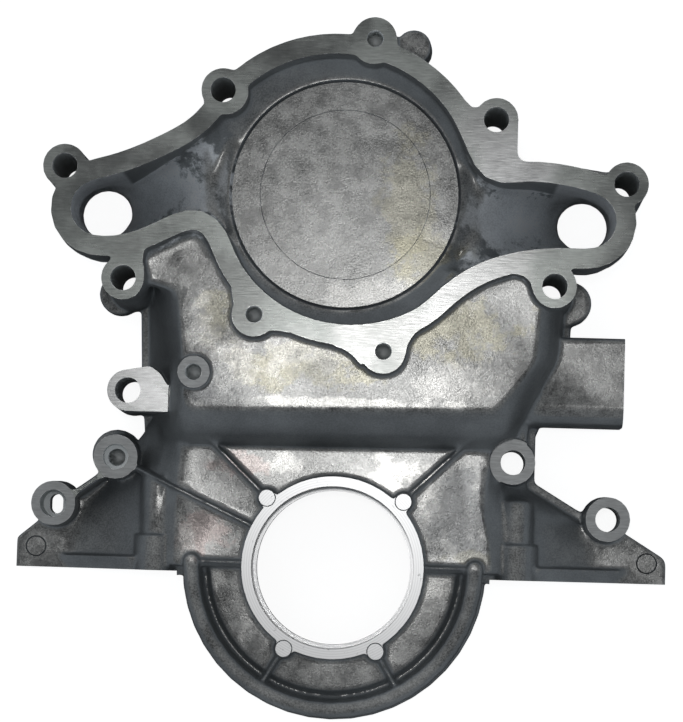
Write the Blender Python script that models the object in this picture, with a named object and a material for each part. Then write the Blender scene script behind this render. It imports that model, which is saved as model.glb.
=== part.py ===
"""Front timing cover of a V-type engine, with the water pump chamber cast into it.

Metres. The cover lies on its block gasket face: +Z points away from the engine,
+Y up the engine and +X to the right when the cover is seen from the front.
Everything is laid out from the crankshaft axis and centred at the end.
"""

import math

import bmesh
import bpy
from mathutils import Matrix
from mathutils import Vector

NAME = "timing_cover"

# Levels above the block gasket face
RIM_TOP = 0.008
EAR_TOP = 0.012
LOW_BOSS_TOP = 0.028
PAD_BOSS_TOP = 0.041
RAIL_TOP = 0.031
BOX_TOP = 0.034
WEB_TOP = 0.036
LIP_TOP = 0.040
SEAL_TOP = 0.044
CHAMBER_FLOOR = 0.050
HOUSING_BACK = 0.043
SHOULDER_LEVEL = 0.041
DUCT_TOP = 0.036
BULGE_TOP = 0.056
POINTER_TOP = 0.0575
PUMP_FACE = 0.066
PAST = 0.004

# Walls, draft and rims
WALL = 0.005
DRAFT = 0.0008
RIM_OUT = 0.0045
BAND_WIDTH = 0.0089
WEB_RISE = 0.002

# Casting stock that is machined away
STOCK = 0.0012
STOCK_STEP = 0.06
SKIN = 0.0005

# Crankshaft seal bore and its ring
BORE_R = 0.0374
SHOULDER_R = 0.0358
SHOULDER_TOP = 0.025
RING_R = 0.0419
HUB_BACK = 0.019
RING_PAD_R = 0.004
RING_PAD_RISE = 0.0004
RING_PADS = ((-0.0311, 0.0312), (0.0318, 0.0311), (-0.0214, -0.0378), (0.0208, -0.0379))

# Half round that closes the oil pan, seen as radii from the crankshaft axis
SEAL_LAND_R = 0.0668
FRONT_LIP_RISE = 0.0027
FRONT_LIP_R = SEAL_LAND_R + FRONT_LIP_RISE
REAR_LIP_RISE = 0.0047
REAR_LIP_R = SEAL_LAND_R + REAR_LIP_RISE
REAR_LIP_DEPTH = 0.005
LIP_WALL = 0.0048
LIP_INNER_R = SEAL_LAND_R - LIP_WALL
LIP_ROUND = 0.002
WEB_INNER_R = 0.030
GROOVE_WIDTH = 0.0045
PANEL_R = LIP_INNER_R - GROOVE_WIDTH
PANEL_TOP = 0.034
GROOVE_TOP = 0.0325

# Water pump chamber
CHAMBER_X = 0.0010
CHAMBER_Y = 0.1717
DISC_R = 0.0529
GROOVE_W = 0.0014
GROOVE_DEPTH = 0.0012
COVE_RISE = 0.0055
VOLUTE_R = 0.0677
COVE_IN = 0.0012
COVE_R = VOLUTE_R - COVE_IN
VOLUTE_X = -0.0030
BELLY_X = 0.0004
BELLY_R_FROM = 0.0612
BELLY_R_TO = 0.0683

# Water ports, left and right of the crankshaft axis
PORT_X = 0.1128
PORT_Y = 0.1641
PORT_R = 0.0119
PORT_EDGE_X = 0.1112
PORT_EDGE_SHIFT = 0.0014
PORT_EDGE_Y = 0.1609
PORT_EDGE_R = 0.0177
PORT_WALL_R = 0.0224
PASSAGE_END_X = 0.012
PASSAGE_END_LEFT_Y = 0.180
PASSAGE_END_RIGHT_Y = 0.158
# Passage floor from port to chamber: height, reach, spread at the port, radius at the end
TROUGH = (
    (0.006, 0.000, 0.0000, 0.0090),
    (0.014, 0.003, 0.0004, 0.0100),
    (0.024, 0.010, 0.0010, 0.0115),
    (0.033, 0.018, 0.0020, 0.0135),
    (0.041, 0.026, 0.0035, 0.0160),
    (0.0465, 0.0325, 0.0055, 0.0185),
    (0.0500, 0.0375, 0.0075, 0.0210),
    (0.0563, 0.056, 0.0120, 0.0250),
    (0.0680, 0.066, 0.0140, 0.0280),
)

# Bolts of the pump face; those round the crown as an angle and how far beyond the band's middle
THROUGH_BOLTS = (
    (-0.1271, 0.1799),
    (0.1295, 0.1781),
    (-0.0988, 0.1292),
    (0.0979, 0.1306),
)
CROWN_LEFT_BOLT = (139.62, 0.0016)
CROWN_RIGHT_BOLT = (25.41, 0.0125)
CROWN_TAPPED_BOLT = (77.22, 0.0042)
CROWN_TAPPED_BACK = 0.038
BELLY_TAPPED_BOLTS = ((-0.0387, 0.1140), (0.0206, 0.0987))
BELLY_TAPPED_BACK = 0.046
BOSS_R = 0.0100
THROUGH_R = 0.00575
TAP_R = 0.0036
TAP_MOUTH_R = 0.0042
TAP_MOUTH_DEPTH = 0.0008
TAP_DEPTH = 0.014
TAP_BACK_R = 0.008
TAP_BACK_DEPTH = 0.012

# Lower bolt bosses on the block
LOW_BOSSES = ((0.0822, 0.0511), (0.1268, 0.0259))
PIN_BOSS = (-0.1314, 0.0262)
PIN_R = 0.0063
PIN_FLOOR = 0.010
SLOT_R = 0.0031
SLOT_HALF = 0.0015
SLOT_SHIFT = 0.0003
LOW_BOSS_R = 0.0104
SPOTFACE_GAP = 0.0007
SPOTFACE_TOP = 0.047
SPOTFACE_WALL = 0.003
DOWEL_BOSS = (-0.1030, 0.0487)
COUNTERBORE_R = 0.0059
COUNTERBORE_DEPTH = 0.007
DOWEL_TAP_DEPTH = 0.020
PAD_BOSS = (-0.0972, 0.0792)
PAD_BOSS_R = 0.0096
PAD_BOLT_R = 0.0059
PAD_LEAN = 0.0008
POINTER_BOSS = (-0.0658, 0.0876)
POINTER_R = 0.0073
POINTER_DEPTH = 0.008
POINTER_TAP_DEPTH = 0.012
POINTER_BACK = 0.040
DOWEL_RIM = (-0.1042, 0.0503)
DOWEL_RIM_R = 0.0118
LOBES = ((-0.1050, 0.1262, 0.0100), (0.1075, 0.1275, 0.0105))
TOP_LOBE = (63.93, 0.0092)
TOP_LOBE_R = 0.008
TOP_LOBE_FRONT = 0.052
TOP_LOBE_BACK = 0.036

# Oil pan rail and its two tapped bosses
RAIL_BOTTOM = -0.0036
RAIL_INNER = 0.0027
RAIL_OVERLAP = 0.0068
RAIL_FROM_X = SEAL_LAND_R - RAIL_OVERLAP
RAIL_LEVEL_X = 0.0950
RAIL_LEFT_END = 0.1290
RAIL_RIGHT_END = 0.1370
RAIL_SLOPE = 0.005
RAIL_BACK = 0.0015
SKIRT_HOLLOW_LOW = 0.0042
KNOB_IN = 0.0013
KNOB_X = SEAL_LAND_R - KNOB_IN
KNOB_Y = 0.0012
KNOB_R = 0.0044
KNOB_TIP_R = 0.0036
KNOB_BACK = 0.010
PAN_BOLT_X = 0.0838
PAN_BOLT_Z = 0.0195
PAN_COLLAR_R = 0.0107
PAN_COLLAR_END = 0.0127
PAN_POST_R = 0.0085
PAN_POST_END = 0.0350
PAN_TAP_DEPTH = 0.022

# Fuel pump pad box
BOX_LEFT = 0.0845
BOX_FACE = 0.1325
BOX_LOW = 0.0686
BOX_HIGH = 0.1099
BOX_BACK = 0.004
BOX_BEVEL_Z = 0.008
BOX_EDGE_R = 0.003
WINDOW_Y = 0.016
WINDOW_Z = 0.018
BOX_TAP_SPREAD = 0.0145
BOX_TAP_DEPTH = 0.012

# Ribs from the seal ring: ends in plan, height at the ring, height at the far end, depth of the foot
RIB_CREST = 0.0011
RIB_FOOT = 0.0044
RIB_RUNS = (
    ((-0.0300, 0.0302), (-0.0635, 0.0622), SEAL_TOP - 0.002, WEB_TOP + 0.005, WEB_TOP - 0.012),
    ((0.0300, 0.0302), (0.0633, 0.0620), SEAL_TOP - 0.002, WEB_TOP + 0.005, WEB_TOP - 0.012),
    ((-0.0370, 0.0178), (-0.0752, 0.0354), SEAL_TOP - 0.003, WEB_TOP + 0.003, WEB_TOP - 0.012),
    ((-0.0744, 0.0350), (-0.0960, 0.0450), WEB_TOP + 0.003, LOW_BOSS_TOP - 0.001, WEB_TOP - 0.013),
)
# Ribs from the seal ring to the lip: start in plan, angle of the far end, heights of both ends
LIP_RIB_IN = 0.0018
LIP_RIB_FOOT = PANEL_TOP - 0.003
LIP_RIBS = (
    ((-0.0405, 0.0012), 178.8, LIP_TOP - 0.001, LIP_TOP - 0.002),
    ((0.0405, 0.0012), 1.0, LIP_TOP - 0.001, LIP_TOP - 0.002),
    ((-0.0205, -0.0360), 239.9, SEAL_TOP - 0.003, LIP_TOP - 0.003),
    ((0.0200, -0.0362), 299.6, SEAL_TOP - 0.003, LIP_TOP - 0.003),
)

# Middle of the pump face band, anticlockwise: arcs as angles in degrees, with runs between them.
# A run is given as shares of the way between the arcs and distances to the right of that way.
PORT_LEFT_ARC = (112, 256)
RUN_BELOW_LEFT = ((0.262, 0.0016), (0.509, -0.0017), (0.745, -0.0069), (0.896, -0.0070))
BELLY_ARC = (200, 304)
RUN_BELOW_RIGHT = ((0.188, -0.0065), (0.373, -0.0104), (0.602, -0.0098), (0.827, -0.0053))
PORT_RIGHT_ARC = (-78, 76)
RUN_ABOVE_RIGHT = ((0.302, -0.0006), (0.593, -0.0039), (0.837, -0.0087))
CROWN_ARC = (18, 138)
RUN_ABOVE_LEFT = ((0.264, -0.0073), (0.578, -0.0069), (0.818, -0.0040))
BAND_PITCH = 0.0058

# Plan outlines of the case as corners (x, y, radius), anticlockwise
CASE_FOOT = (
    (-0.0860, 0.0430, 0.010),
    (0.0800, 0.0440, 0.008),
    (0.1040, 0.1000, 0.020),
    (0.1050, 0.1280, 0.010),
    (0.0880, 0.1760, 0.030),
    (0.0450, 0.2030, 0.040),
    (-0.0400, 0.2030, 0.040),
    (-0.0800, 0.1760, 0.030),
    (-0.0915, 0.1280, 0.010),
    (-0.0900, 0.0900, 0.010),
)
CASE_FRONT = (
    (-0.0700, 0.0710, 0.007),
    (0.0730, 0.0740, 0.010),
    (0.0905, 0.0960, 0.016),
    (0.0925, 0.1270, 0.010),
    (0.0800, 0.1700, 0.030),
    (0.0420, 0.1920, 0.040),
    (-0.0360, 0.1920, 0.040),
    (-0.0680, 0.1700, 0.030),
    (-0.0765, 0.1440, 0.010),
    (-0.0715, 0.1000, 0.010),
)
CASE_SHOULDER = (
    (-0.0765, 0.0570, 0.009),
    (0.0790, 0.0585, 0.010),
    (0.1005, 0.0990, 0.018),
    (0.1020, 0.1280, 0.010),
    (0.0860, 0.1740, 0.030),
    (0.0440, 0.1990, 0.040),
    (-0.0390, 0.1990, 0.040),
    (-0.0770, 0.1740, 0.030),
    (-0.0845, 0.1330, 0.010),
    (-0.0772, 0.0930, 0.010),
)
SKIRT_FOOT = (
    (-0.1250, -0.0010, 0.002),
    (0.1225, -0.0010, 0.002),
    (0.1195, 0.0130, 0.006),
    (0.1145, 0.0248, 0.006),
    (0.0892, 0.0392, 0.004),
    (0.0890, 0.0640, 0.004),
    (0.0800, 0.0800, 0.006),
    (-0.0800, 0.0800, 0.006),
    (-0.0920, 0.0600, 0.006),
    (-0.1085, 0.0385, 0.006),
    (-0.1200, 0.0250, 0.006),
)
SKIRT_FRONT = (
    (-0.0735, -0.0010, 0.002),
    (0.0730, -0.0010, 0.002),
    (0.0718, 0.0130, 0.006),
    (0.0690, 0.0260, 0.006),
    (0.0698, 0.0400, 0.006),
    (0.0730, 0.0600, 0.004),
    (0.0740, 0.0780, 0.006),
    (-0.0700, 0.0780, 0.006),
    (-0.0722, 0.0600, 0.006),
    (-0.0730, 0.0410, 0.006),
    (-0.0735, 0.0240, 0.006),
)
# Land beside the upper right bolt, seen from that bolt
LAND = (
    (-0.0174, -0.0001, 0.002),
    (-0.0114, -0.0231, 0.002),
    (0.0236, -0.0221, 0.002),
    (0.0231, -0.0189, 0.003),
    (0.0099, -0.0189, 0.004),
    (0.0099, 0.0000, 0.002),
)
# Webs behind the two crown bolts, each seen from its bolt
WEB_LEFT = (
    (-0.0082, -0.0046, 0.002),
    (0.0078, -0.0326, 0.002),
    (0.0158, -0.0286, 0.002),
    (0.0068, 0.0034, 0.002),
)
WEB_RIGHT = (
    (-0.0144, -0.0201, 0.002),
    (-0.0054, -0.0221, 0.002),
    (0.0066, -0.0021, 0.002),
    (-0.0064, 0.0049, 0.002),
)
SHELF = (
    (0.0860, 0.1700, 0.004),
    (0.1340, 0.1700, 0.004),
    (0.1410, 0.1840, 0.006),
    (0.1350, 0.1950, 0.006),
    (0.1240, 0.1905, 0.004),
    (0.0935, 0.1950, 0.004),
)
PAD = (
    (PAD_BOSS[0] - PAD_LEAN, PAD_BOSS[1] - PAD_BOSS_R, 0.001),
    (-0.0778, PAD_BOSS[1] - PAD_BOSS_R, 0.001),
    (-0.0783, 0.0810, 0.004),
    (-0.0825, 0.0875, 0.003),
    (-0.0872, 0.0906, 0.001),
    (PAD_BOSS[0] - PAD_LEAN, PAD_BOSS[1] + PAD_BOSS_R, 0.002),
)
GUSSET = (
    (0.0690, 0.0570, 0.001),
    (0.0728, 0.0530, 0.001),
    (0.0885, 0.0600, 0.001),
    (0.0895, 0.0695, 0.001),
    (0.0780, 0.0665, 0.001),
)
LEFT_EAR = (
    (-0.1500, RAIL_BOTTOM - STOCK, 0.0005),
    (-0.0900, RAIL_BOTTOM - STOCK, 0.0005),
    (-0.0900, 0.0400, 0.002),
    (-0.1110, 0.0415, 0.003),
    (-0.1183, 0.0324, 0.003),
    (-0.1395, 0.0190, 0.003),
    (-0.1500, 0.0102, 0.003),
)
RIGHT_EAR = (
    (0.0850, RAIL_BOTTOM - 1.1 * STOCK, 0.0005),
    (0.1558, RAIL_BOTTOM - 1.1 * STOCK, 0.0005),
    (0.1558, 0.0080, 0.005),
    (0.1380, 0.0192, 0.003),
    (0.1135, 0.0306, 0.003),
    (0.0935, 0.0425, 0.002),
    (0.0935, 0.0690, 0.001),
    (0.0850, 0.0690, 0.001),
)
EAR_PAD = (
    (0.1000, RAIL_BOTTOM - 1.3 * STOCK, 0.0005),
    (0.1554, RAIL_BOTTOM - 1.3 * STOCK, 0.0005),
    (0.1554, 0.0080, 0.005),
    (0.1380, 0.0186, 0.003),
    (0.1240, 0.0250, 0.002),
    (0.1000, 0.0200, 0.002),
)
NOSE = (
    (-0.0640, 0.0780, 0.006),
    (0.0690, 0.0800, 0.008),
    (0.0820, 0.1000, 0.010),
    (0.0830, 0.1130, 0.008),
    (0.0520, 0.1090, 0.008),
    (0.0300, 0.0960, 0.008),
    (-0.0300, 0.0960, 0.008),
    (-0.0500, 0.1080, 0.008),
    (-0.0650, 0.1280, 0.006),
)

# How far a wall has gone from one outline to the next at each part of its height
BULGE_STEPS = ((0.40, 0.20), (0.68, 0.46), (0.88, 0.74), (0.97, 0.92), (1.00, 1.00))
SKIRT_STEPS = ((0.0, 0.0), (0.18, 0.22), (0.38, 0.45), (0.60, 0.66), (0.80, 0.83), (0.93, 0.94), (1.0, 1.0))
CEILING_PART = 0.6

# Fineness of round shapes, and the metal
WELD = 0.000001
FLAT_ANGLE = 0.004
ROUND_STEPS = 3
COVE_STEPS = 4
AXIS_GAP = 0.0001
CIRCLE_STEPS = 20
BORE_STEPS = 48
CHAMBER_STEPS = 44
HALF_STEPS = 22
HULL_STEPS = 26
ARC_STEPS = 8
SMOOTH_STEPS = 6
FAR = 0.2
METAL_COLOUR = (0.42, 0.43, 0.42, 1.0)
METAL_ROUGHNESS = 0.45


def under():
    """Fresh depth of casting stock below the block face, so that no two feet share a plane."""
    FEET.append(STOCK * (1 + len(FEET) * STOCK_STEP))
    return -FEET[-1]


def over():
    """Fresh height of casting stock above the pump face."""
    HEADS.append(STOCK * (1 + len(HEADS) * STOCK_STEP))
    return PUMP_FACE + HEADS[-1]


def turn(centre_x, centre_y, radius_from, radius_to, start, end, count):
    """Points of an arc or spiral, with angles in degrees."""
    points = []
    for step in range(count):
        part = step / (count - 1)
        angle = math.radians(start + (end - start) * part)
        radius = radius_from + (radius_to - radius_from) * part
        points.append((centre_x + radius * math.cos(angle), centre_y + radius * math.sin(angle)))
    return points


def smooth(points, steps):
    """Closed smooth curve through the points."""
    result = []
    count = len(points)
    for index in range(count):
        before = Vector(points[index - 1])
        here = Vector(points[index])
        after = Vector(points[(index + 1) % count])
        beyond = Vector(points[(index + 2) % count])
        span = (after - here).length
        leave = (after - before).normalized() * span / 3
        arrive = (beyond - here).normalized() * span / 3
        for step in range(steps):
            t = step / steps
            near = (1 - t) ** 3 * here + 3 * t * (1 - t) ** 2 * (here + leave)
            far = 3 * t * t * (1 - t) * (after - arrive) + t ** 3 * after
            spot = near + far
            result.append((spot.x, spot.y))
    return result


def evened(points, pitch):
    """The closed outline again with its points set at an even pitch."""
    count = len(points)
    lengths = [math.dist(points[i], points[(i + 1) % count]) for i in range(count)]
    total = sum(lengths)
    wanted = round(total / pitch)
    result = []
    index = 0
    passed = 0.0
    for step in range(wanted):
        target = total * step / wanted
        while passed + lengths[index] < target:
            passed += lengths[index]
            index += 1
        part = (target - passed) / lengths[index]
        start = points[index]
        end = points[(index + 1) % count]
        result.append((start[0] + (end[0] - start[0]) * part, start[1] + (end[1] - start[1]) * part))
    return result


def moved_out(points, distance):
    """The outline moved outwards along its normals, for an outline that runs anticlockwise."""
    result = []
    count = len(points)
    for index in range(count):
        before = Vector(points[index - 1])
        here = Vector(points[index])
        after = Vector(points[(index + 1) % count])
        first = (here - before).normalized()
        second = (after - here).normalized()
        tangent = (first + second).normalized()
        stretch = max(0.4, tangent.dot(first))
        normal = Vector((tangent.y, -tangent.x))
        spot = here + normal * distance / stretch
        result.append((spot.x, spot.y))
    return result


def relaxed(points, times):
    """The outline with its tight corners eased."""
    for _ in range(times):
        count = len(points)
        points = [
            (
                (points[i - 1][0] + 2 * points[i][0] + points[(i + 1) % count][0]) / 4,
                (points[i - 1][1] + 2 * points[i][1] + points[(i + 1) % count][1]) / 4,
            )
            for i in range(count)
        ]
    return points


def rounded(corners, steps=ROUND_STEPS):
    """Outline with each corner (x, y, radius) rounded by an arc of the same number of points."""
    result = []
    count = len(corners)
    for index in range(count):
        before = Vector(corners[index - 1][:2])
        here = Vector(corners[index][:2])
        after = Vector(corners[(index + 1) % count][:2])
        radius = corners[index][2]
        back = (before - here).normalized()
        ahead = (after - here).normalized()
        half = back.angle(ahead) / 2
        reach = radius / math.tan(half)
        limit = min((before - here).length, (after - here).length) * 0.49
        if reach > limit:
            reach = limit
            radius = reach * math.tan(half)
        centre = here + (back + ahead).normalized() * radius / math.sin(half)
        start = here + back * reach - centre
        end = here + ahead * reach - centre
        sweep = start.angle_signed(end)
        for step in range(steps + 1):
            spot = centre + Matrix.Rotation(-sweep * step / steps, 2) @ start
            result.append((spot.x, spot.y))
    return result


def grown(corners, distance):
    """Corner list moved outwards, or inwards when the distance is negative."""
    spots = moved_out([corner[:2] for corner in corners], distance)
    radii = [max(corner[2] + distance, 0.0015) for corner in corners]
    return [(spot[0], spot[1], radius) for spot, radius in zip(spots, radii)]


def between(outline_from, outline_to, part):
    """Outline part of the way from one outline to another with the same number of points."""
    return [
        (a[0] + (b[0] - a[0]) * part, a[1] + (b[1] - a[1]) * part)
        for a, b in zip(outline_from, outline_to)
    ]


def hull(circles, count):
    """Outline stretched round circles given as (x, y, radius)."""
    result = []
    for step in range(count):
        angle = math.tau * step / count
        way = (math.cos(angle), math.sin(angle))
        best = max(circles, key=lambda c: c[0] * way[0] + c[1] * way[1] + c[2])
        result.append((best[0] + best[2] * way[0], best[1] + best[2] * way[1]))
    return result


def finish(mesh_data, name):
    """Link a bmesh as an object with outward faces."""
    bmesh.ops.recalc_face_normals(mesh_data, faces=mesh_data.faces)
    mesh = bpy.data.meshes.new(name)
    mesh_data.to_mesh(mesh)
    mesh_data.free()
    item = bpy.data.objects.new(name, mesh)
    CUTTERS.objects.link(item)
    item.hide_render = True
    item.display_type = "WIRE"
    return item


def stack(name, rings):
    """Solid lofted through outlines given as (height, outline), lowest first."""
    shape = bmesh.new()
    loops = []
    for height, outline in rings:
        loops.append([shape.verts.new((x, y, height)) for x, y in outline])
    for lower, upper in zip(loops, loops[1:]):
        count = len(lower)
        for index in range(count):
            after = (index + 1) % count
            shape.faces.new((lower[index], lower[after], upper[after], upper[index]))
    walls = list(shape.faces)
    bmesh.ops.triangulate(shape, faces=walls, quad_method="SHORT_EDGE")
    shape.faces.new(loops[0][::-1])
    shape.faces.new(loops[-1])
    return finish(shape, name)


def plate(name, outline, low, high):
    """Flat plate from an outline, made from a filled and extruded curve."""
    curve = bpy.data.curves.new(name, "CURVE")
    curve.dimensions = "2D"
    curve.fill_mode = "BOTH"
    curve.extrude = (high - low) / 2
    line = curve.splines.new("POLY")
    line.points.add(len(outline) - 1)
    for point, (x, y) in zip(line.points, outline):
        point.co = (x, y, 0, 1)
    line.use_cyclic_u = True
    holder = bpy.data.objects.new(name + "_curve", curve)
    CUTTERS.objects.link(holder)
    holder.location.z = (low + high) / 2
    bpy.context.view_layer.update()
    graph = bpy.context.evaluated_depsgraph_get()
    mesh = bpy.data.meshes.new_from_object(holder.evaluated_get(graph))
    shape = bmesh.new()
    shape.from_mesh(mesh)
    shape.transform(holder.matrix_world)
    bmesh.ops.remove_doubles(shape, verts=shape.verts, dist=WELD)
    bpy.data.objects.remove(holder)
    bpy.data.meshes.remove(mesh)
    return finish(shape, name)


def post(name, x, y, radius, low, high, radius_top=None, steps=CIRCLE_STEPS):
    """Upright round post, tapered when a top radius is given."""
    shape = bmesh.new()
    top = radius if radius_top is None else radius_top
    bmesh.ops.create_cone(
        shape,
        cap_ends=True,
        segments=steps,
        radius1=radius,
        radius2=top,
        depth=high - low,
        matrix=Matrix.Translation((x, y, (low + high) / 2)),
    )
    return finish(shape, name)


def bar(name, x, z, radius, start, end, radius_end=None, steps=CIRCLE_STEPS):
    """Round bar along Y."""
    shape = bmesh.new()
    far = radius if radius_end is None else radius_end
    bmesh.ops.create_cone(
        shape,
        cap_ends=True,
        segments=steps,
        radius1=radius,
        radius2=far,
        depth=end - start,
        matrix=Matrix.Translation((x, (start + end) / 2, z)) @ Matrix.Rotation(-math.pi / 2, 4, "X"),
    )
    return finish(shape, name)


def rod(name, y, z, radius, start, end, steps=CIRCLE_STEPS):
    """Round bar along X."""
    shape = bmesh.new()
    bmesh.ops.create_cone(
        shape,
        cap_ends=True,
        segments=steps,
        radius1=radius,
        radius2=radius,
        depth=end - start,
        matrix=Matrix.Translation(((start + end) / 2, y, z)) @ Matrix.Rotation(math.pi / 2, 4, "Y"),
    )
    return finish(shape, name)


def block(name, low, high):
    """Upright box between two corners."""
    shape = bmesh.new()
    bmesh.ops.create_cube(shape, size=1)
    size = [b - a for a, b in zip(low, high)]
    middle = [(a + b) / 2 for a, b in zip(low, high)]
    bmesh.ops.scale(shape, verts=shape.verts, vec=size)
    bmesh.ops.translate(shape, verts=shape.verts, vec=middle)
    return finish(shape, name)


def rib(name, start, end, foot, top_start, top_end):
    """Rib with a narrow crest and a wide foot between two points of the plan."""
    shape = bmesh.new()
    bmesh.ops.create_cube(shape, size=1)
    along = Vector((end[0] - start[0], end[1] - start[1], 0))
    side = Vector((-along.y, along.x, 0)).normalized()
    for vert in shape.verts:
        far = vert.co.x > 0
        top = vert.co.z > 0
        width = RIB_CREST if top else RIB_FOOT
        across = side * width / 2 * (1 if vert.co.y > 0 else -1)
        level = foot
        if top:
            level = top_end if far else top_start
        spot = Vector((start[0], start[1], level)) + (along if far else Vector()) + across
        vert.co = spot
    return finish(shape, name)


def turned(name, profile, angle_from, angle_to, x, y, steps):
    """Part turned about an upright axis from a closed profile of (radius, height) points."""
    shape = bmesh.new()
    start = math.radians(angle_from)
    sweep = math.radians(angle_to - angle_from)
    full = abs(angle_to - angle_from) > 359
    verts = [
        shape.verts.new((radius * math.cos(start), radius * math.sin(start), height))
        for radius, height in profile
    ]
    if full:
        geometry = [shape.edges.new((verts[i - 1], verts[i])) for i in range(len(verts))]
    else:
        geometry = [shape.faces.new(verts)]
    bmesh.ops.spin(
        shape,
        geom=verts + geometry if full else geometry,
        cent=(0, 0, 0),
        axis=(0, 0, 1),
        angle=sweep,
        steps=steps,
        use_merge=full,
    )
    bmesh.ops.remove_doubles(shape, verts=shape.verts, dist=WELD)
    bmesh.ops.translate(shape, verts=shape.verts, vec=(x, y, 0))
    return finish(shape, name)


def combine(target, others, operation):
    """Boolean the other objects into the target one after another."""
    for other in others:
        modifier = target.modifiers.new(other.name, "BOOLEAN")
        modifier.operation = operation
        modifier.solver = "EXACT"
        modifier.object = other
        bpy.context.view_layer.update()
        graph = bpy.context.evaluated_depsgraph_get()
        mesh = bpy.data.meshes.new_from_object(target.evaluated_get(graph))
        old = target.data
        target.modifiers.clear()
        target.data = mesh
        bpy.data.meshes.remove(old)
        bpy.data.objects.remove(other)
        tidy(target)
    return target


def tidy(item):
    """Weld points that a cut left almost on one another."""
    shape = bmesh.new()
    shape.from_mesh(item.data)
    bmesh.ops.remove_doubles(shape, verts=shape.verts, dist=WELD)
    shape.to_mesh(item.data)
    shape.free()


def add(target, others):
    """Join the other objects to the target."""
    return combine(target, others, "UNION")


def cut(target, others):
    """Cut the other objects out of the target."""
    return combine(target, others, "DIFFERENCE")


def keep(target, others):
    """Keep what the target shares with each other object."""
    return combine(target, others, "INTERSECT")


def on_crown(angle, beyond):
    """Point at an angle round the crown of the volute, beyond the middle of its band."""
    return turn(VOLUTE_X, CHAMBER_Y, VOLUTE_R + beyond, VOLUTE_R, angle, angle, 2)[0]


def run(start, end, shape):
    """Points between two ends, given as shares of the way and distances to the right of it."""
    way = Vector(end) - Vector(start)
    right = Vector((way.y, -way.x)).normalized()
    return [tuple(Vector(start) + way * share + right * across) for share, across in shape]


def pump_centre_line():
    """Middle of the pump face band, anticlockwise."""
    left = turn(-PORT_EDGE_X, PORT_EDGE_Y, PORT_EDGE_R, PORT_EDGE_R, *PORT_LEFT_ARC, ARC_STEPS - 1)
    belly = turn(BELLY_X, CHAMBER_Y, BELLY_R_FROM, BELLY_R_TO, *BELLY_ARC, ARC_STEPS)
    right_x = PORT_EDGE_X + PORT_EDGE_SHIFT
    right = turn(right_x, PORT_EDGE_Y, PORT_EDGE_R, PORT_EDGE_R, *PORT_RIGHT_ARC, ARC_STEPS - 1)
    crown = turn(VOLUTE_X, CHAMBER_Y, VOLUTE_R, VOLUTE_R, *CROWN_ARC, ARC_STEPS)
    line = left + run(left[-1], belly[0], RUN_BELOW_LEFT)
    line += belly + run(belly[-1], right[0], RUN_BELOW_RIGHT)
    line += right + run(right[-1], crown[0], RUN_ABOVE_RIGHT)
    line += crown + run(crown[-1], left[0], RUN_ABOVE_LEFT)
    return evened(smooth(line, SMOOTH_STEPS), BAND_PITCH)


def through_bolts():
    """Places of all through bolts of the pump face."""
    return [*THROUGH_BOLTS, on_crown(*CROWN_LEFT_BOLT), on_crown(*CROWN_RIGHT_BOLT)]


def tapped_bolts():
    """Places of all tapped holes of the pump face, each with the back of its boss."""
    crown = (*on_crown(*CROWN_TAPPED_BOLT), CROWN_TAPPED_BACK)
    return [crown] + [(x, y, BELLY_TAPPED_BACK) for x, y in BELLY_TAPPED_BOLTS]


CENTRE_LINE = pump_centre_line()
OUTER_EDGE = relaxed(moved_out(CENTRE_LINE, BAND_WIDTH / 2), 1)
INNER_EDGE = relaxed(moved_out(CENTRE_LINE, -BAND_WIDTH / 2), 1)


def case_rings(low, shoulder, high, inset):
    """Rings of the chain case: a drafted wall up to the shoulder, then the rounding to its front."""
    foot = rounded(grown(CASE_FOOT, -inset))
    middle = rounded(grown(CASE_SHOULDER, -inset))
    front = rounded(grown(CASE_FRONT, -inset))
    rings = [(low, foot), (shoulder, middle)]
    for rise, part in BULGE_STEPS:
        rings.append((shoulder + (high - shoulder) * rise, between(middle, front, part)))
    return rings


def skirt_rings(low, high, inset):
    """Rings of the lower case between two heights."""
    foot = rounded(grown(SKIRT_FOOT, -inset))
    front = rounded(grown(SKIRT_FRONT, -inset))
    return [(low + (high - low) * rise, between(foot, front, part)) for rise, part in SKIRT_STEPS]


def duct_rings(side, levels):
    """Rings of a duct from a port towards the chamber, as (height, reach, port radius, end radius)."""
    port = Vector((side * PORT_X, PORT_Y))
    goal = Vector((CHAMBER_X + side * PASSAGE_END_X, PASSAGE_END_LEFT_Y if side < 0 else PASSAGE_END_RIGHT_Y))
    way = (goal - port).normalized()
    rings = []
    for height, reach, port_radius, end_radius in levels:
        end = port + way * reach
        rings.append((height, hull(((port.x, port.y, port_radius), (end.x, end.y, end_radius)), HULL_STEPS)))
    return rings


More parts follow.
